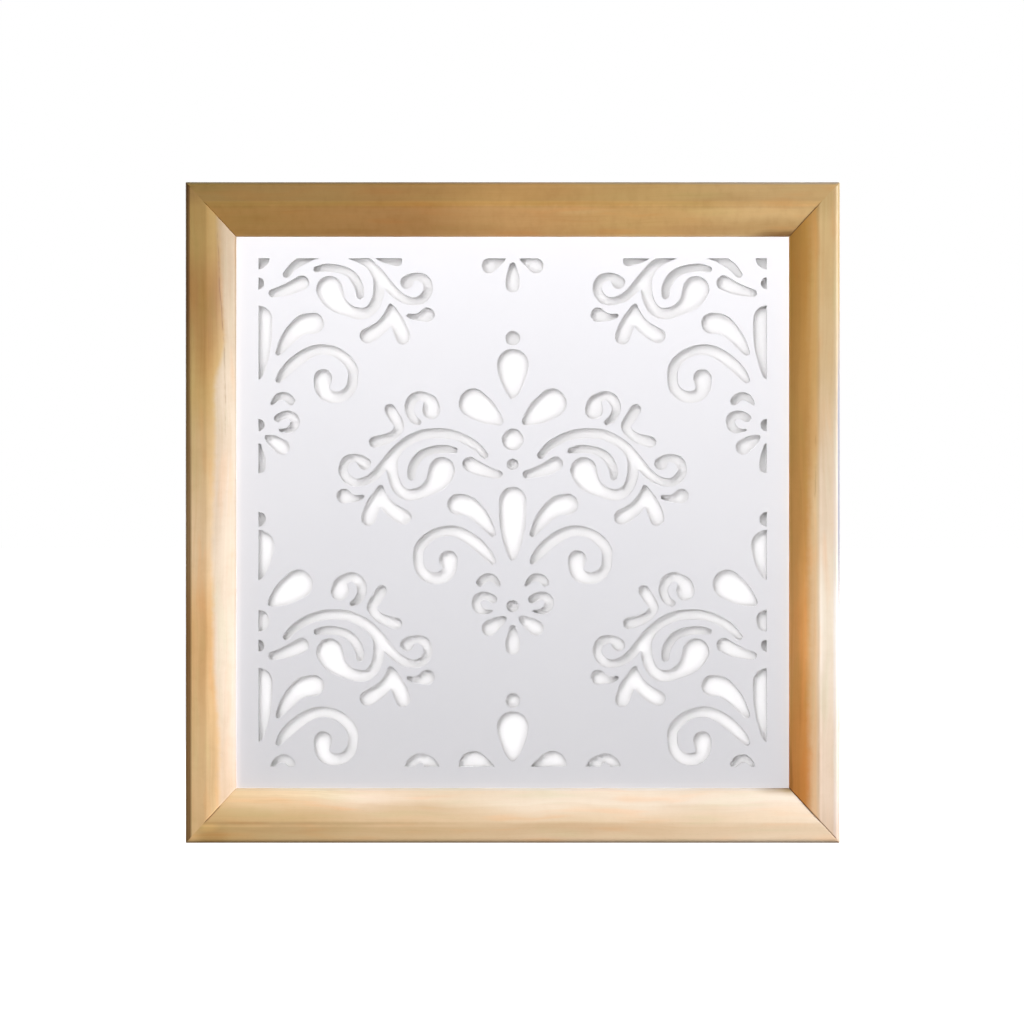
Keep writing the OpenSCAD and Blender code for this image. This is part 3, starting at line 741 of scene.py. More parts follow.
X_, Z_ = (lambda s: s.x), (lambda s: s.sub(s.z, MID_Z))
WOODS = {
    # tones are linear colour; places run left to right on the rails and upwards on the stiles. From the bottom right to
    # the top left the tones darken, partly as the pieces' own colour and partly as painted shade of a light that falls
    # off away from the lower right
    "top_rail": dict(length=FRAME_W, along=X_, across=lambda s: s.sub(FRAME_H, s.z), seed=2.7, rings=0.15, mottle=0.6,
                     band=[(0.05, (0.30, 0.175, 0.044)), (0.2, (0.31, 0.175, 0.045)), (0.35, (0.34, 0.18, 0.045)), (0.5, (0.43, 0.24, 0.07)), (0.7, (0.41, 0.25, 0.08)), (0.9, (0.41, 0.26, 0.10))],
                     slope=[(0.05, (0.39, 0.215, 0.062)), (0.33, (0.40, 0.21, 0.07)), (0.5, (0.53, 0.30, 0.115)), (0.7, (0.53, 0.32, 0.12)), (0.9, (0.50, 0.32, 0.135))],
                     edge=[(0.0, 15.0), (1.0, 15.0)], pith=(60.0, 70.0), ratio=STILE_W / RAIL_W, mitre=((0.4, (0.72, 0.62, 0.52)), None), stripe=(13.2, 2.2, (1.21, 1.21, 1.25)),
                     # the second patch is a painted shadow in the top-right inner corner
                     patches=((150.0, 18.5, 70.0, 7.0, (1.18, 1.22, 1.32)), (168.0, 33.2, 32.0, 5.0, (0.42, 0.32, 0.22)), (40.0, 16.5, 34.0, 5.0, (1.06, 1.12, 1.22)),
                              (115.0, 29.0, 40.0, 6.0, (0.95, 0.90, 0.90)), (-190.0, 3.0, 24.0, 5.0, (0.90, 0.96, 0.85))),
                     # rim: painted grey reflection on the top arris; lip: painted pale reflection on the sight edge
                     rim=(1.7, (0.95, 1.15, 2.0)), lip=(31.5, (1.15, 1.20, 1.45))),
    "bottom_rail": dict(length=FRAME_W, along=X_, across=lambda s: s.z, seed=8.1, rings=0.3, mottle=0.15,
                        band=[(0.0, (0.55, 0.355, 0.14)), (0.2, (0.60, 0.41, 0.205)), (0.3, (0.655, 0.46, 0.255)), (0.6, (0.70, 0.51, 0.325)), (1.0, (0.72, 0.555, 0.39))],
                        slope=[(0.0, (0.60, 0.39, 0.165)), (0.15, (0.63, 0.42, 0.20)), (0.3, (0.69, 0.485, 0.28)), (0.6, (0.74, 0.56, 0.375)), (0.78, (0.70, 0.53, 0.36)), (1.0, (0.76, 0.61, 0.46))],
                        # crease: painted highlight and painted shade lines where the slope starts
                        edge=[(0.0, 12.6), (1.0, 12.2)], pith=(-30.0, 60.0), crease=(10.4, 12.4, 1.0, 0.2), ratio=STILE_W / RAIL_W,
                        # the high end's pale mitre line is a painted highlight along the cut edge
                        mitre=((1.1, (0.46, 0.34, 0.24), 12.6, 21.0), (1.3, (1.10, 1.12, 1.18), 1.0)),
                        # the first two patches are painted sheen on the upward-facing slope
                        patches=((-150.0, 29.0, 130.0, 14.0, (1.40, 1.55, 2.0)), (40.0, 28.0, 240.0, 15.0, (1.14, 1.28, 1.55)), (-186.0, 30.0, 16.0, 12.0, (0.94, 0.88, 0.74)),
                                 # these two patches are a painted shadow in the bottom-right inner corner
                                 (172.0, 34.5, 30.0, 8.0, (0.26, 0.14, 0.02)), (179.0, 34.5, 23.0, 7.5, (0.80, 0.70, 0.15)), (-198.0, 4.0, 9.0, 12.0, (1.28, 1.26, 1.38)), (-183.0, 3.5, 14.0, 7.0, (0.90, 0.82, 0.70)),
                                 (-186.0, 9.5, 9.0, 4.0, (1.22, 1.20, 1.14))),
                        # rim: painted shade on the lower arris; lip: painted grey reflection on the sight edge
                        rim=(1.5, (0.94, 0.93, 0.96)), lip=(31.4, (0.93, 1.0, 1.12))),
    "left_stile": dict(length=FRAME_H, along=Z_, across=lambda s: s.add(s.x, FRAME_W / 2), seed=14.6, rings=0.25, mottle=0.35,
                       band=[(0.1, (0.72, 0.48, 0.24)), (0.33, (0.71, 0.43, 0.19)), (0.45, (0.76, 0.55, 0.33)), (0.6, (0.61, 0.415, 0.20)), (0.68, (0.545, 0.36, 0.135)), (0.84, (0.375, 0.195, 0.052)), (0.92, (0.41, 0.255, 0.075))],
                       slope=[(0.05, (0.68, 0.49, 0.33)), (0.16, (0.70, 0.54, 0.40)), (0.3, (0.70, 0.57, 0.44)), (0.42, (0.68, 0.545, 0.415)), (0.52, (0.61, 0.475, 0.35)), (0.68, (0.565, 0.445, 0.32)), (0.78, (0.465, 0.345, 0.215)), (0.9, (0.365, 0.248, 0.127))],
                       edge=[(0.0, 20.3), (0.17, 20.5), (0.27, 17.4), (0.45, 16.4), (0.6, 17.8), (0.69, 18.0), (0.76, 24.4), (0.83, 22.4), (0.92, 20.0)], soft=2.2, pith=(80.0, 50.0),
                       lines=((0.61, 0.94, [(0.635, 24.2), (0.747, 23.8), (0.795, 22.2), (0.853, 20.6), (0.917, 19.6)], 0.8),), ratio=RAIL_W / STILE_W,
                       # both mitre lines are painted highlights along the cut edges
                       mitre=((1.5, (1.12, 1.13, 1.15)), (1.0, (1.12, 1.06, 1.05))),
                       patches=((97.0, 12.0, 34.0, 9.0, (0.88, 0.76, 0.62)), (130.0, 12.0, 22.0, 6.0, (0.98, 1.0, 0.88)), (-155.0, 16.5, 45.0, 5.0, (0.88, 0.86, 0.84)),
                                (-15.0, 15.0, 30.0, 4.0, (0.92, 0.92, 0.92)), (115.0, 16.5, 40.0, 5.0, (0.90, 0.88, 0.84)), (-140.0, 30.0, 130.0, 3.2, (1.04, 1.10, 1.22)),
                                (198.0, 5.0, 13.0, 11.0, (0.80, 0.75, 0.72))),
                       # stripe and rim: painted shade on the outer arris; lip: painted grey reflection on the sight
                       # edge
                       stripe=(2.85, 1.2, (0.47, 0.42, 0.33), 0.45, 0.92), rim=(3.2, (0.60, 0.49, 0.33)), lip=(29.9, (0.93, 0.98, 1.12))),
    "right_stile": dict(length=FRAME_H, along=Z_, across=lambda s: s.sub(FRAME_W / 2, s.x), seed=27.9, rings=0.25, mottle=0.2,
                        band=[(0.0, (0.62, 0.46, 0.33)), (0.08, (0.71, 0.55, 0.42)), (0.35, (0.77, 0.67, 0.55)), (0.5, (0.65, 0.52, 0.39)), (0.75, (0.50, 0.35, 0.18)), (0.9, (0.49, 0.335, 0.15))],
                        middle=(13.4, 1.9, [(0.1, (0.87, 0.56, 0.31)), (0.35, (0.90, 0.61, 0.35)), (0.5, (0.85, 0.60, 0.33)), (0.62, (0.74, 0.45, 0.18)), (0.75, (0.66, 0.385, 0.13)), (0.9, (0.64, 0.37, 0.12)), (0.98, (0.52, 0.29, 0.08))]),
                        slope=[(0.05, (0.75, 0.29, 0.055)), (0.16, (0.86, 0.36, 0.085)), (0.3, (0.88, 0.45, 0.145)), (0.48, (0.76, 0.375, 0.10)), (0.65, (0.69, 0.355, 0.087)), (0.88, (0.59, 0.285, 0.048))],
                        # the crease lines are painted highlight and shade, the grey on the outermost arris is painted
                        # shade, and so is the darker outer side
                        edge=[(0.0, 18.5), (1.0, 18.5)], soft=3.0, pith=(100.0, 40.0), crease=(11.5, 12.9, 0.7, 0.35), arris_grey_shade=(26.0, 110.0, (0.33, 0.305, 0.305)), outer_side_shade=(0.52, 0.47, 0.40), ratio=RAIL_W / STILE_W,
                        mitre=((1.1, (0.42, 0.30, 0.22), 1.5), (0.5, (0.60, 0.48, 0.36))),
                        lines=((0.5, 0.64, [(0.5, 15.4), (0.64, 14.6)], 0.5),),
                        # the third patch is painted shade along the sight edge near the bottom-right inner corner
                        patches=((-85.0, 25.0, 60.0, 7.0, (1.0, 0.90, 0.80)), (-70.0, 22.3, 75.0, 4.5, (1.20, 1.20, 1.18)), (-160.0, 30.5, 40.0, 2.0, (0.72, 0.66, 0.60)),
                                 (196.0, 8.0, 22.0, 12.0, (0.84, 0.82, 0.74))),
                        # rim and lip: painted highlights on the outer arris and on the sight edge
                        rim=(4.6, (0.99, 1.06, 1.22)), lip=(29.7, (1.20, 1.40, 1.9))),
}
for node, ob in rails.items():
    paint(ob, wood("wood_" + node, **WOODS[node]))
    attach(ob, "frame")
    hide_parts(node)

# ------------------------------------------------------------------ ornament
# Each stroke is a row of circles [distance from the axis, height above the middle, radius] on a grid in which the
# field is 509 units wide. One half is drawn and mirrored, and the motif repeats on a half-drop grid.
GRID, REPEAT_X, REPEAT_Z = 509.0, 254.5, 181.5
UNIT = FIELD / GRID
PETAL = [[39.5, 109.5, 14.5], [28.5, 102, 12.25], [21.5, 97, 9], [15.5, 93, 5.5], [13, 91, 3.5]]
CURL = [[94.5, 90.5, 3], [100, 94, 4], [103.5, 102, 4.5], [102.5, 109.5, 5], [99, 114.5, 5],
        [92.5, 117, 4.5], [86, 114.5, 5], [82, 110, 7], [81.5, 102.5, 9]]
ELBOW_STROKE = [[123, 103, 5.5], [118.5, 95.5, 5.5], [113.5, 87, 5], [117.5, 79, 4.5], [125.5, 74, 5], [138, 70.5, 5.75]]
STEM = [[28, 57, 3.5], [34.5, 64.5, 4], [43, 70.5, 4.5], [54, 76, 4.5], [67.5, 79, 5], [82.5, 79, 5],
        [92, 77.5, 5], [105, 71.5, 5], [115, 63.5, 5], [123.5, 54, 5], [131.5, 44, 5], [141.5, 34.5, 4.5],
        [154, 30, 4], [163.5, 32, 4.5], [169.5, 40, 4.5], [169, 47.5, 4.5], [165.5, 52.5, 4.5],
        [158.5, 54.5, 4], [152, 53, 4.5], [148.5, 49, 6.5]]
LOOP = [[114.5, 62, 4], [119.5, 54.5, 5], [120.5, 44.5, 5.5], [119.5, 34.5, 5.5], [115.5, 25, 5.5],
        [108, 18.5, 5.5], [98.5, 18, 5.75], [90, 21, 6], [79.5, 27.5, 8.75], [73.5, 35.5, 12], [71, 42, 13.25]]
INNER_COMMA = [[58, 62, 3], [67.5, 63.5, 4], [79.5, 62.5, 4], [90.5, 58.5, 4.25], [97.5, 51, 4.5],
               [101, 42.5, 4.25], [101.5, 36, 3.75]]
SIDE_COMMA = [[43, 48.5, 7.25], [33, 43.5, 6.5], [22.5, 40, 5], [14, 38, 4]]
LEAF = [[169, 16.5, 7.25], [162.5, 14.5, 4.5], [156.5, 14, 3.25], [150.5, 15.5, 2]]
FORK_OUT = [[132, 25, 2.5], [133, 22, 4], [135, 17, 5.5], [138, 10.5, 7], [141.5, 3, 7.5], [143.5, -2.5, 7.5], [144.5, -6, 7.25]]
FORK_IN = [[132, 24.5, 2.5], [130.5, 16, 5], [126.5, 8, 6.5], [121.5, 3, 6.75], [114, -2, 7.5], [109, -4.5, 7.5]]
LOBE = [[55, 8, 10.5], [45.5, 7, 10], [37.5, 1.5, 8.5], [30.5, -6, 7.25], [25, -13.5, 5.5], [20, -21.5, 3]]
SCROLL = [[20, -49, 3], [25, -42, 5], [34.5, -32.5, 6], [44.5, -25, 6], [55.5, -19.5, 5.5],
          [66.5, -18.5, 5], [78.5, -21.5, 5], [88.5, -29, 5.25], [94, -37.5, 5.25], [94.5, -47.5, 5],
          [92.5, -57, 5.25], [85.5, -64, 5.5], [76.5, -66, 5.75], [68, -63.5, 6.5], [63.5, -56.5, 7.25], [64.5, -47, 9]]
ARCH = [[32.5, -70, 4], [29, -66.5, 4.25], [24, -65, 4], [19, -66.5, 3.5], [15.5, -70, 2.5], [13.5, -72.5, 1.5]]
HOOK = [[19.5, -87, 4], [24, -84.5, 4], [29.5, -83.5, 4], [34.5, -85.5, 4.5], [36.5, -90, 4.5],
        [35, -95.5, 4.25], [30.5, -99, 3.25], [25.5, -99.5, 2], [21.5, -99, 1.25]]
LOW_COMMA = [[23.5, -116, 7.5], [18, -112, 6.5], [12, -108.5, 4.5], [9, -106.5, 2.75]]
SIDE = [PETAL, CURL, ELBOW_STROKE, STEM, LOOP, INNER_COMMA, SIDE_COMMA, LEAF, FORK_OUT, FORK_IN, LOBE, SCROLL, ARCH, HOOK, LOW_COMMA]
AXIS = [
    [[0, 148, 15.75], [0, 140.5, 14.25], [0, 131.5, 11], [0, 123, 7.25], [0, 117.5, 3.5]],
    [[0, 12, 13.5], [0, 2.5, 13.5], [0, -9.5, 13], [0, -21.5, 11], [0, -32.5, 8.25], [0, -41.5, 5], [0, -45, 3]],
    [[0, -115.5, 3], [0, -121.5, 4.75], [0, -128.5, 6.75], [0, -135, 7.25]]]
DOTS = [[0, 174.5, 7.25], [0, 73, 10.75], [0, 48, 5.75], [0, -94, 6]]


def blend_row(a, b, c, d, t):
    return [0.5 * (2 * q + (r - p) * t + (2 * p - 5 * q + 4 * r - s) * t * t + (3 * q - p - 3 * r + s) * t ** 3)
            for p, q, r, s in zip(a, b, c, d)]


def skin(p, steps):
    """Smooth outline round a row of circles."""
    e = [[2 * a - b for a, b in zip(p[0], p[1])]] + p + [[2 * a - b for a, b in zip(p[-1], p[-2])]]
    s = [blend_row(*e[i:i + 4], j / steps) for i in range(len(p) - 1) for j in range(steps)] + [p[-1]]
    n = len(s) - 1
    tan = []
    for i in range(n + 1):
        d = [b - a for a, b in zip(s[max(i - 1, 0)], s[min(i + 1, n)])]
        ln = math.hypot(d[0], d[1])
        tan.append((math.atan2(d[1], d[0]), math.acos(max(-0.95, min(0.95, -d[2] / ln)))))
    at = lambda c, a: (c[0] + c[2] * math.cos(a), c[1] + c[2] * math.sin(a))
    caps = lambda r: math.ceil(6 + 1.5 * r)
    m1, m0 = caps(s[n][2]), caps(s[0][2])
    return ([at(s[i], tan[i][0] + tan[i][1]) for i in range(n + 1)]
            + [at(s[n], tan[n][0] + tan[n][1] * (1 - 2 * j / m1)) for j in range(1, m1)]
            + [at(s[i], tan[i][0] - tan[i][1]) for i in range(n, -1, -1)]
            + [at(s[0], tan[0][0] - tan[0][1] - (2 * math.pi - 2 * tan[0][1]) * j / m0) for j in range(1, m0)])


def ornament_loops():
    """Outlines of every hole on the board, in millimetres from the middle of the field, trimmed to the field."""
    motif = []
    for p in SIDE:
        o = skin(p, 4)
        motif += [o, [(-x, z) for x, z in o][::-1]]
    motif += [skin(p, 4) for p in AXIS]
    for c in DOTS:
        q = 2 * math.ceil(8 + 1.6 * c[2])
        motif.append([(c[0] + c[2] * math.cos(2 * math.pi * (i + 0.5) / q), c[1] + c[2] * math.sin(2 * math.pi * (i + 0.5) / q)) for i in range(q)])
    places = [(0, 0), (0, 2 * REPEAT_Z), (0, -2 * REPEAT_Z)] + [(a * REPEAT_X, b * REPEAT_Z) for a in (-1, 1) for b in (-1, 1)]
    f = GRID / 2
    pts, faces = [], []

    def add(poly):
        ids = list(range(len(pts), len(pts) + len(poly)))
        pts.extend(Vector((UNIT * x, UNIT * z)) for x, z in poly)
        faces.append(ids if area2(poly) > 0 else ids[::-1])

    add([(-f, -f), (f, -f), (f, f), (-f, f)])
    for ox, oz in places:
        for o in motif:
            o = [(x + ox, z + oz) for x, z in o]
            if min(c[0] for c in o) < f - 2 and max(c[0] for c in o) > 2 - f and min(c[1] for c in o) < f - 2 and max(c[1] for c in o) > 2 - f:
                add(o)
    co, _, tris, _, _, of = delaunay_2d_cdt(pts, [], faces, 1, 1e-5)
    hole = [t for t, src in zip(tris, of) if 0 in src and len(src) > 1]
    half = set()
    for t in hole:
        c = [co[i] for i in t]
        if area2([tuple(v) for v in c]) < 0:
            t = t[::-1]
        for i in range(len(t)):
            half.add((t[i], t[(i + 1) % len(t)]))
    nxt = {}
    for a, b in half:
        if (b, a) not in half:
            nxt.setdefault(a, []).append(b)
    loops = []
    while nxt:
        a = min(nxt)
        loop, b = [a], nxt[a].pop()
        if not nxt[a]:
            del nxt[a]
        while b != loop[0]:
            loop.append(b)
            c = nxt[b].pop()
            if not nxt[b]:
                del nxt[b]
            b = c
        loops.append([(co[i][0], co[i][1]) for i in loop])
    loops = [thin_out(l) for l in loops if abs(area2(l)) > 0.5]
    return [l[::-1] for l in loops if len(l) > 3]     # clockwise: the board is on the left


rect = [(-BOARD_X, BOARD_Z0 - MID_Z), (BOARD_X, BOARD_Z0 - MID_Z), (BOARD_X, BOARD_Z1 - MID_Z), (-BOARD_X, BOARD_Z1 - MID_Z)]
holes = ornament_loops()
FRET_Y = FRONT + SHOULDER
fret = plate("fretwork_board", [rect] + holes, FRET_Y, FRET_Y + FRET_T, 0.15, 0.0, 2, lambda x, y, z: (x, y, z + MID_Z))
paint(fret, white_lacquer("white_lacquer", (0.915, 0.905, 0.94), 0.40, 5.0))
# the cut walls get a dark grey that is painted shade for the holes
fret.data.materials.append(sawn_edge("sawn_edge", 9.0))
fret.data.polygons.foreach_set("material_index", [1 if abs(q.normal.y) < 0.1 else 0 for q in fret.data.polygons])
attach(fret, "frame")
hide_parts("fretwork_panel")

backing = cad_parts["backing_board"]
m = backing.modifiers.new("eased_edges", "BEVEL")
m.width, m.segments, m.limit_method = 0.0003, 2, "ANGLE"
paint(backing, fibre_board("white_faced_board", 3.0))

# ------------------------------------------------------------------ screws, nails, buttons, hangers, bumpers
zinc = metal("zinc_plate", (0.60, 0.61, 0.62), 0.30, 2.0, (0.86, 0.87, 0.92))
screw_steel = metal("screw_steel", (0.56, 0.56, 0.565), 0.26, 5.0, (0.88, 0.86, 0.80), brush=(1.0, 0.3, 1.0))
nail_steel = metal("nail_steel", (0.30, 0.31, 0.33), 0.38, 8.0, (0.75, 0.72, 0.70))
brass = metal("hanger_brass", (0.80, 0.58, 0.25), 0.24, 12.0, (0.90, 0.80, 0.66), brush=(0.6, 0.6, 0.12))


def circle(cx, cz, r, n, back=False):
    c = [(cx + r * math.cos(2 * math.pi * i / n), cz + r * math.sin(2 * math.pi * i / n)) for i in range(n)]
    return c[::-1] if back else c


def stadium(l, w, n=20):
    r = w / 2
    c = [(r * math.cos(math.radians(90 + 180 * i / n)), r * math.sin(math.radians(90 + 180 * i / n))) for i in range(n + 1)]
    c += [(l - w + r * math.cos(math.radians(-90 + 180 * i / n)), r * math.sin(math.radians(-90 + 180 * i / n))) for i in range(n + 1)]
    return c


for name, (bx, bz, turn) in BUTTONS.items():
    ca, sa = math.cos(math.radians(turn)), math.sin(math.radians(turn))
    ob = plate(name + "_plate", [stadium(BUTTON_L, BUTTON_W), circle(0, 0, SCREW_R + RUN, 40, back=True)],
               BACK, BACK + BUTTON_T, 0.12, 0.32, 3,
               lambda x, y, z, bx=bx, bz=bz, ca=ca, sa=sa: (bx + x * ca - z * sa, y, bz + x * sa + z * ca), turn)
    paint(ob, zinc)
    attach(ob, name.replace("turn_", ""))
    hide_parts(name)


def screw_head(x, z, y):
    """Pan head with a domed top and the plain collar under it."""
    place = lambda a, b, h: (x + a, y + h, z + b)
    head = [(0, HEAD_H)] + [(HEAD_R * math.sin(math.radians(k)) * 0.80, HEAD_H - 0.42 * (1 - math.cos(math.radians(k)))) for k in (12, 24, 36, 50, 66, 80, 90)]
    head += [(HEAD_R * 0.90, HEAD_H - 0.62), (HEAD_R * 0.97, HEAD_H - 0.95), (HEAD_R, HEAD_H - 1.3), (HEAD_R, 0.14), (HEAD_R - 0.12, 0.02), (SCREW_R - 0.12, 0.02), (SCREW_R - 0.12, -0.9), (0, -0.9)]
    return lathe(head, 40, place)


def screw_shank(x, z, y):
    """Shank with a raised thread that tapers to a point, into the timber."""
    place = lambda a, b, h: (x + a, y + h, z + b)
    vs, fs = [], []
    n, rows, pitch = 20, 96, 1.25
    for k in range(rows + 1):
        h = -0.85 - (SCREW_L - 1.05) * k / rows
        left_over = (SCREW_L + h) / 3.0
        taper = min(1.0, max(0.06, left_over))
        fade = min(1.0, k / 6)
        for i in range(n):
            ang = 2 * math.pi * i / n
            ph = (h / pitch + i / n) % 1.0
            ridge = max(0.0, 1 - abs(ph - 0.5) * 4.5)
            r = (1.12 + 0.36 * ridge * fade + 0.26 * (1 - fade)) * taper
            vs.append(place(r * math.cos(ang), r * math.sin(ang), h))
    for k in range(rows):
        for i in range(n):
            j = (i + 1) % n
            fs.append([k * n + i, k * n + j, (k + 1) * n + j, (k + 1) * n + i])
    for ring, h in ((0, -0.85), (rows * n, -SCREW_L)):
        tip = len(vs)
        vs.append(place(0, 0, h))
        for i in range(n):
            fs.append([ring + i, ring + (i + 1) % n, tip])
    return vs, fs


def recess_parts(x, z, y, turn):
    """Cross recess: two wings that narrow towards the bottom."""
    parts = []
    for base in (0, 90):
        a = math.radians(base + turn)
        ca, sa = math.cos(a), math.sin(a)
        vs = []
        for h, l, w in ((HEAD_H + 0.5, 1.75, 0.42), (HEAD_H - 1.15, 0.75, 0.24)):
            for sx, sz in ((-1, -1), (1, -1), (1, 1), (-1, 1)):
                px, pz = sx * l, sz * w
                vs.append((x + px * ca - pz * sa, y + h, z + px * sa + pz * ca))
        parts.append((vs, [[0, 1, 2, 3], [7, 6, 5, 4], [0, 4, 5, 1], [1, 5, 6, 2], [2, 6, 7, 3], [3, 7, 4, 0]]))
    return parts


def screws(name, places, mat, node, turns):
    ob = mesh(name, *join_parts([screw_head(*p) for p in places]))
    outward(ob)
    for k in (0, 1):
        c = mesh("recess", *join_parts([recess_parts(*p, t)[k] for p, t in zip(places, turns)]))
        outward(c)
        cut(ob, c, 35)
    shanks = mesh("shanks", *join_parts([screw_shank(*p) for p in places]))
    outward(shanks)
    bm = bmesh.new()
    bm.from_mesh(ob.data)
    bm.from_mesh(shanks.data)
    bm.to_mesh(ob.data)
    bm.free()
    bpy.data.objects.remove(shanks)
    ob.data.set_sharp_from_angle(angle=math.radians(35))
    ob.data.polygons.foreach_set("use_smooth", [True] * len(ob.data.polygons))
    paint(ob, mat)
    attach(ob, "frame")
    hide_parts(node)


screws("turn_button_screw_set", SCREWS[:8], screw_steel, "turn_button_screws", (10, 62, 35, 80, 20, 51, 5, 72))
screws("hanger_screw_set", SCREWS[8:], screw_steel, "hanger_screws", (28, 66))
paint(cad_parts["v_nails"], nail_steel)


def strap(name, x):
    """A strip bent over at the top into a knuckle round the ring's wire, and rounded at its foot."""
    cy, cz, r = RING_Y, HANG_Z, WIRE + RUN + STRAP_T / 2
    path = []                                   # (y, z, half-width) of the sheet's middle
    foot = cz - STRAP_L
    hw = STRAP_W / 2
    for i in range(15):                         # rounded foot
        a = math.radians(90 * i / 14)
        path.append((BACK + STRAP_T / 2, foot + hw * (1 - math.cos(a)), max(hw * math.sin(a), 0.35)))
    for i in range(1, 9):
        path.append((BACK + STRAP_T / 2, foot + hw + (STRAP_L - hw) * i / 8, hw))
    for i in range(1, 30):
        a = math.radians(180 - 302 * i / 29)
        path.append((cy + r * math.cos(a), cz + r * math.sin(a), hw))
    nx = 8
    vs, fs = [], []
    for k, (py, pz, w) in enumerate(path):
        a, b = path[max(k - 1, 0)], path[min(k + 1, len(path) - 1)]
        dy, dz = b[0] - a[0], b[1] - a[1]
        l = math.hypot(dy, dz)
        ny, nz = -dz / l, dy / l                # outwards: away from the ring
        for side in (1, -1):
            for i in range(nx + 1):
                vs.append((x + w * (-1 + 2 * i / nx), py + side * ny * STRAP_T / 2, pz + side * nz * STRAP_T / 2))
    row = 2 * (nx + 1)
    for k in range(len(path) - 1):
        for s in (0, nx + 1):
            for i in range(nx):
                a = k * row + s + i
                fs.append([a, a + 1, a + row + 1, a + row])
        for i in (0, nx):
            fs.append([k * row + i, k * row + nx + 1 + i, (k + 1) * row + nx + 1 + i, (k + 1) * row + i])
    for k in (0, len(path) - 1):
        for i in range(nx):
            fs.append([k * row + i, k * row + i + 1, k * row + nx + 2 + i, k * row + nx + 1 + i])
    ob = mesh(name, vs, fs)
    outward(ob)
    hole = mesh("hole", *lathe([(0, -3), (1.6, -3), (1.6, 3), (0, 3)], 32, lambda a, b, h: (x + a, BACK + h, HANG_Z - STRAP_L + 6 + b)))
    outward(hole)
    cut(ob, hole, 35)
    bev = ob.modifiers.new("eased_edges", "BEVEL")
    bev.width, bev.segments, bev.limit_method, bev.angle_limit, bev.harden_normals = 0.00013, 2, "ANGLE", math.radians(50), False
    return ob


def ring(name, x):
    """D-shaped ring of round wire."""
    path = []
    for i in range(13):
        path.append((-(RING_R - ELBOW) + 2 * (RING_R - ELBOW) * i / 12, 0.0))
    for i in range(1, 11):
        a = math.radians(90 - 90 * i / 10)
        path.append((RING_R - ELBOW + ELBOW * math.cos(a), -ELBOW + ELBOW * math.sin(a)))
    for i in range(1, 4):
        path.append((RING_R, -ELBOW - LEG * i / 3))
    for i in range(1, 49):
        a = math.radians(-180 * i / 48)
        path.append((RING_R * math.cos(a), -ELBOW - LEG + RING_R * math.sin(a)))
    for i in range(1, 4):
        path.append((-RING_R, -ELBOW - LEG + LEG * i / 3))
    for i in range(1, 10):
        a = math.radians(180 - 90 * i / 10)
        path.append((-(RING_R - ELBOW) + ELBOW * math.cos(a), -ELBOW + ELBOW * math.sin(a)))
    n, m = len(path), 24
    vs, fs = [], []
    for k in range(n):
        a, b = path[k - 1], path[(k + 1) % n]
        dx, dz = b[0] - a[0], b[1] - a[1]
        l = math.hypot(dx, dz)
        nx, nz = dz / l, -dx / l
        for i in range(m):
            c, s = WIRE * math.cos(2 * math.pi * i / m), WIRE * math.sin(2 * math.pi * i / m)
            vs.append((x + path[k][0] + nx * c, RING_Y + s, HANG_Z + path[k][1] + nz * c))
    for k in range(n):
        for i in range(m):
            j = (i + 1) % m
            fs.append([k * m + i, k * m + j, ((k + 1) % n) * m + j, ((k + 1) % n) * m + i])
    ob = mesh(name, vs, fs)
    outward(ob)
    return ob


for side, x in (("left", -HANG_X), ("right", HANG_X)):
    s = strap(f"hanger_strap_{side}_strip", x)
    paint(s, brass)
    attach(s, "frame")
    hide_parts(f"hanger_strap_{side}")
    r = ring(f"hanger_ring_{side}_wire", x)
    paint(r, brass)
    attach(r, f"ring_{side}")
    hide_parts(f"hanger_ring_{side}")

bump_profile = [(0, 0), (5.35, 0), (5.5, 0.12), (5.48, 0.7), (5.32, 1.5), (5.0, 2.5), (4.65, 3.2), (4.3, 3.65), (3.85, 3.9), (3.4, 3.98), (2.6, 4.0), (0, 4.0)]
bumpers = mesh("wall_bumper_pair", *join_parts([
    lathe(bump_profile, 48, lambda a, b, h, sx=sx: (sx * (FRAME_W / 2 - 28) + a, BACK + h, 13.0 + b)) for sx in (-1, 1)]), sharp=50)
outward(bumpers)
paint(bumpers, rubber("bumper_rubber", 6.0))
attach(bumpers, "frame")
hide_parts("wall_bumpers")

# ------------------------------------------------------------------ floor, light and camera
bpy.ops.mesh.primitive_plane_add(size=80.0, location=(0, 0, 0))
floor = bpy.context.object
floor.name = "floor"
fs = Shader("pale_floor")
soft = fs.noise(fs.vec(fs.mul(fs.x, 0.002), fs.mul(fs.y, 0.002), 0.0), 2.0, 0.5)
fs.set(Base_Color=fs.tint((0.9, 0.9, 0.9), soft, (0.98, 0.98, 0.98)), Roughness=0.7, Emission_Color=(1.0, 1.0, 1.0), Emission_Strength=0.95)
paint(floor, fs.mat)
floor.visible_diffuse = False
floor.visible_glossy = False

world = bpy.data.worlds.new("studio")
scene.world = world
world.use_nodes = True
wt = world.node_tree
wt.nodes.clear()
w_out = wt.nodes.new("ShaderNodeOutputWorld")
w_mix = wt.nodes.new("ShaderNodeMixShader")
w_path = wt.nodes.new("ShaderNodeLightPath")
w_cam = wt.nodes.new("ShaderNodeBackground")
w_cam.inputs[0].default_value, w_cam.inputs[1].default_value = (1.0, 1.0, 1.0, 1.0), 1.0
w_env = wt.nodes.new("ShaderNodeBackground")
w_env.inputs[0].default_value, w_env.inputs[1].default_value = (1.0, 1.0, 1.0, 1.0), 0.15
wt.links.new(w_path.outputs["Is Camera Ray"], w_mix.inputs[0])
wt.links.new(w_env.outputs[0], w_mix.inputs[1])
wt.links.new(w_cam.outputs[0], w_mix.inputs[2])
wt.links.new(w_mix.outputs[0], w_out.inputs[0])


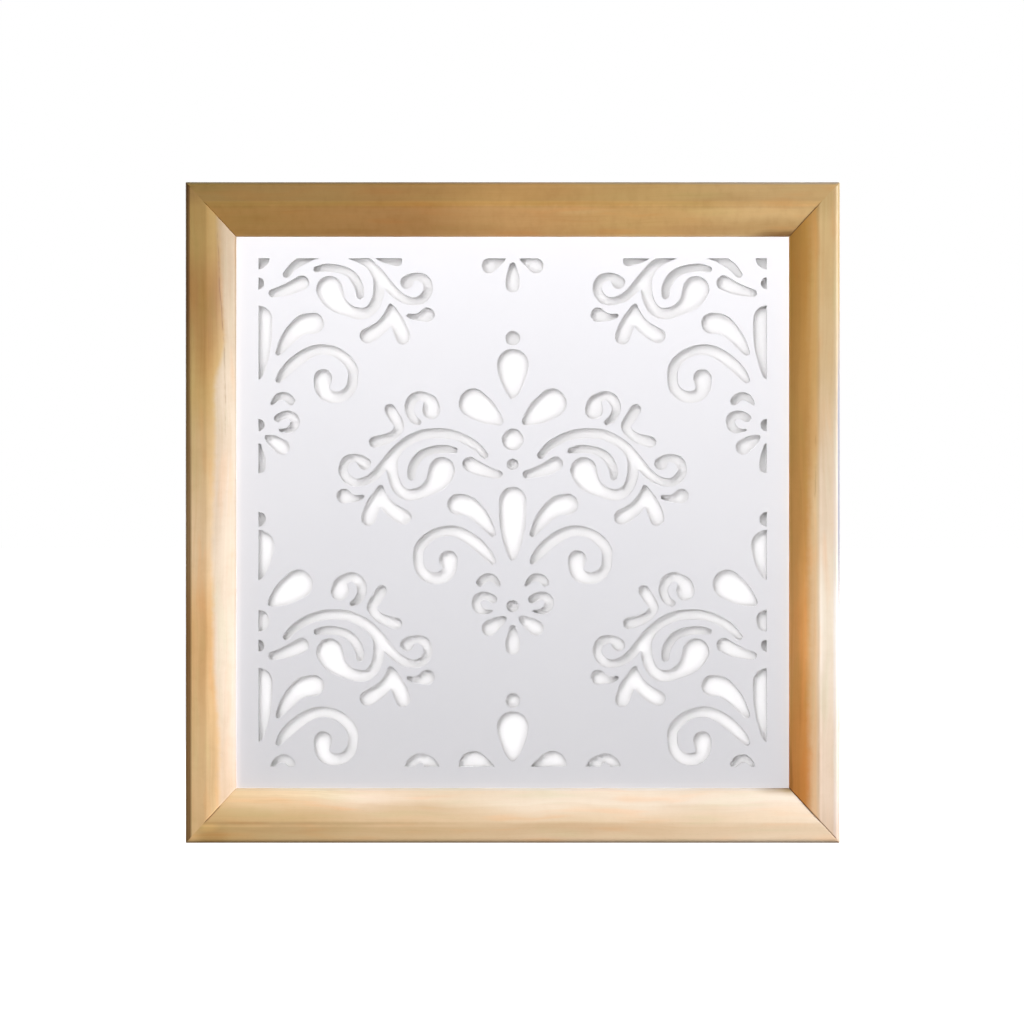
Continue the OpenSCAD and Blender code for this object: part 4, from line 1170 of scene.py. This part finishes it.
def light(name, place, aim, size, watts, tall=None, receivers=None, blockers=None):
    data = bpy.data.lights.new(name, "AREA")
    data.shape = "RECTANGLE"
    data.size, data.size_y, data.energy = size, tall or size, watts
    ob = bpy.data.objects.new(name, data)
    scene.collection.objects.link(ob)
    ob.location = place
    ob.rotation_euler = (Vector(aim) - Vector(place)).to_track_quat("-Z", "Y").to_euler()
    ob.visible_camera = False
    if blockers:
        data.cycles.use_multiple_importance_sampling = False  # otherwise what isn't in blockers still casts a part of its shadow
    for kind, members in (("receiver_collection", receivers), ("blocker_collection", blockers)):
        if members:
            c = bpy.data.collections.new(name + "_" + kind)
            for o in members:
                c.objects.link(o)
            setattr(ob.light_linking, kind, c)
    return ob


mid = (0.0, 0.0, 0.202)
timber = list(rails.values())
light("timber_key", (1.66, -1.0, 0.55), mid, 0.9, 52.0, receivers=timber)
light("timber_front", (0.4, -1.9, 0.9), mid, 1.6, 12.0, receivers=timber)
light("timber_left", (-1.3, -1.5, 0.6), mid, 0.9, 4.0, receivers=timber)
light("face_strip", (0.0, -0.6, 0.88), (0, 0, 0.25), 2.4, 13.2, tall=0.4, receivers=[fret], blockers=[fret])
light("face_key", (0.9, -1.6, 1.0), mid, 1.4, 9.8, receivers=[fret], blockers=[fret])
light("face_edge", (-1.6, -0.45, 1.8), mid, 0.6, 7.0, receivers=[fret], blockers=[fret])
light("ground_left", (-2.9, -2.4, 0.9), mid, 1.2, 32.0, receivers=[backing], blockers=[fret])
light("ground_key", (-1.9, -2.4, 2.1), mid, 1.2, 29.0, receivers=[backing], blockers=[fret])
light("ground_top", (-0.7, -2.4, 3.1), mid, 1.2, 32.0, receivers=[backing], blockers=[fret])
light("ground_low", (1.9, -2.4, -1.7), mid, 3.0, 29.0, receivers=[backing], blockers=[fret])
light("ground_front", (0.0, -2.4, 0.2), mid, 2.0, 5.0, receivers=[backing], blockers=[fret])
light("ground_fill", (0.0, -2.4, 0.2), mid, 14.0, 262.0, receivers=[backing], blockers=[fret])
light("back_key", (0.9, 1.3, 1.1), mid, 0.9, 20.0)
light("back_fill", (-1.1, 1.6, 0.3), mid, 1.4, 12.0)

scene.view_settings.view_transform = "Standard"
scene.view_settings.look = "None"
scene.view_settings.exposure = 0.0
scene.view_settings.gamma = 1.0

DISTANCE = 5.0
cam_data = bpy.data.cameras.new("camera")
cam = bpy.data.objects.new("camera", cam_data)
scene.collection.objects.link(cam)
cam_data.sensor_width = 36.0
cam_data.lens = 36.0 * DISTANCE / 0.6258
cam.location = (-0.0004, FRONT * 0.001 - DISTANCE, 0.2023)
cam.rotation_euler = (math.radians(90), 0, 0)
cam_data.clip_start, cam_data.clip_end = 0.05, 60.0
scene.camera = cam
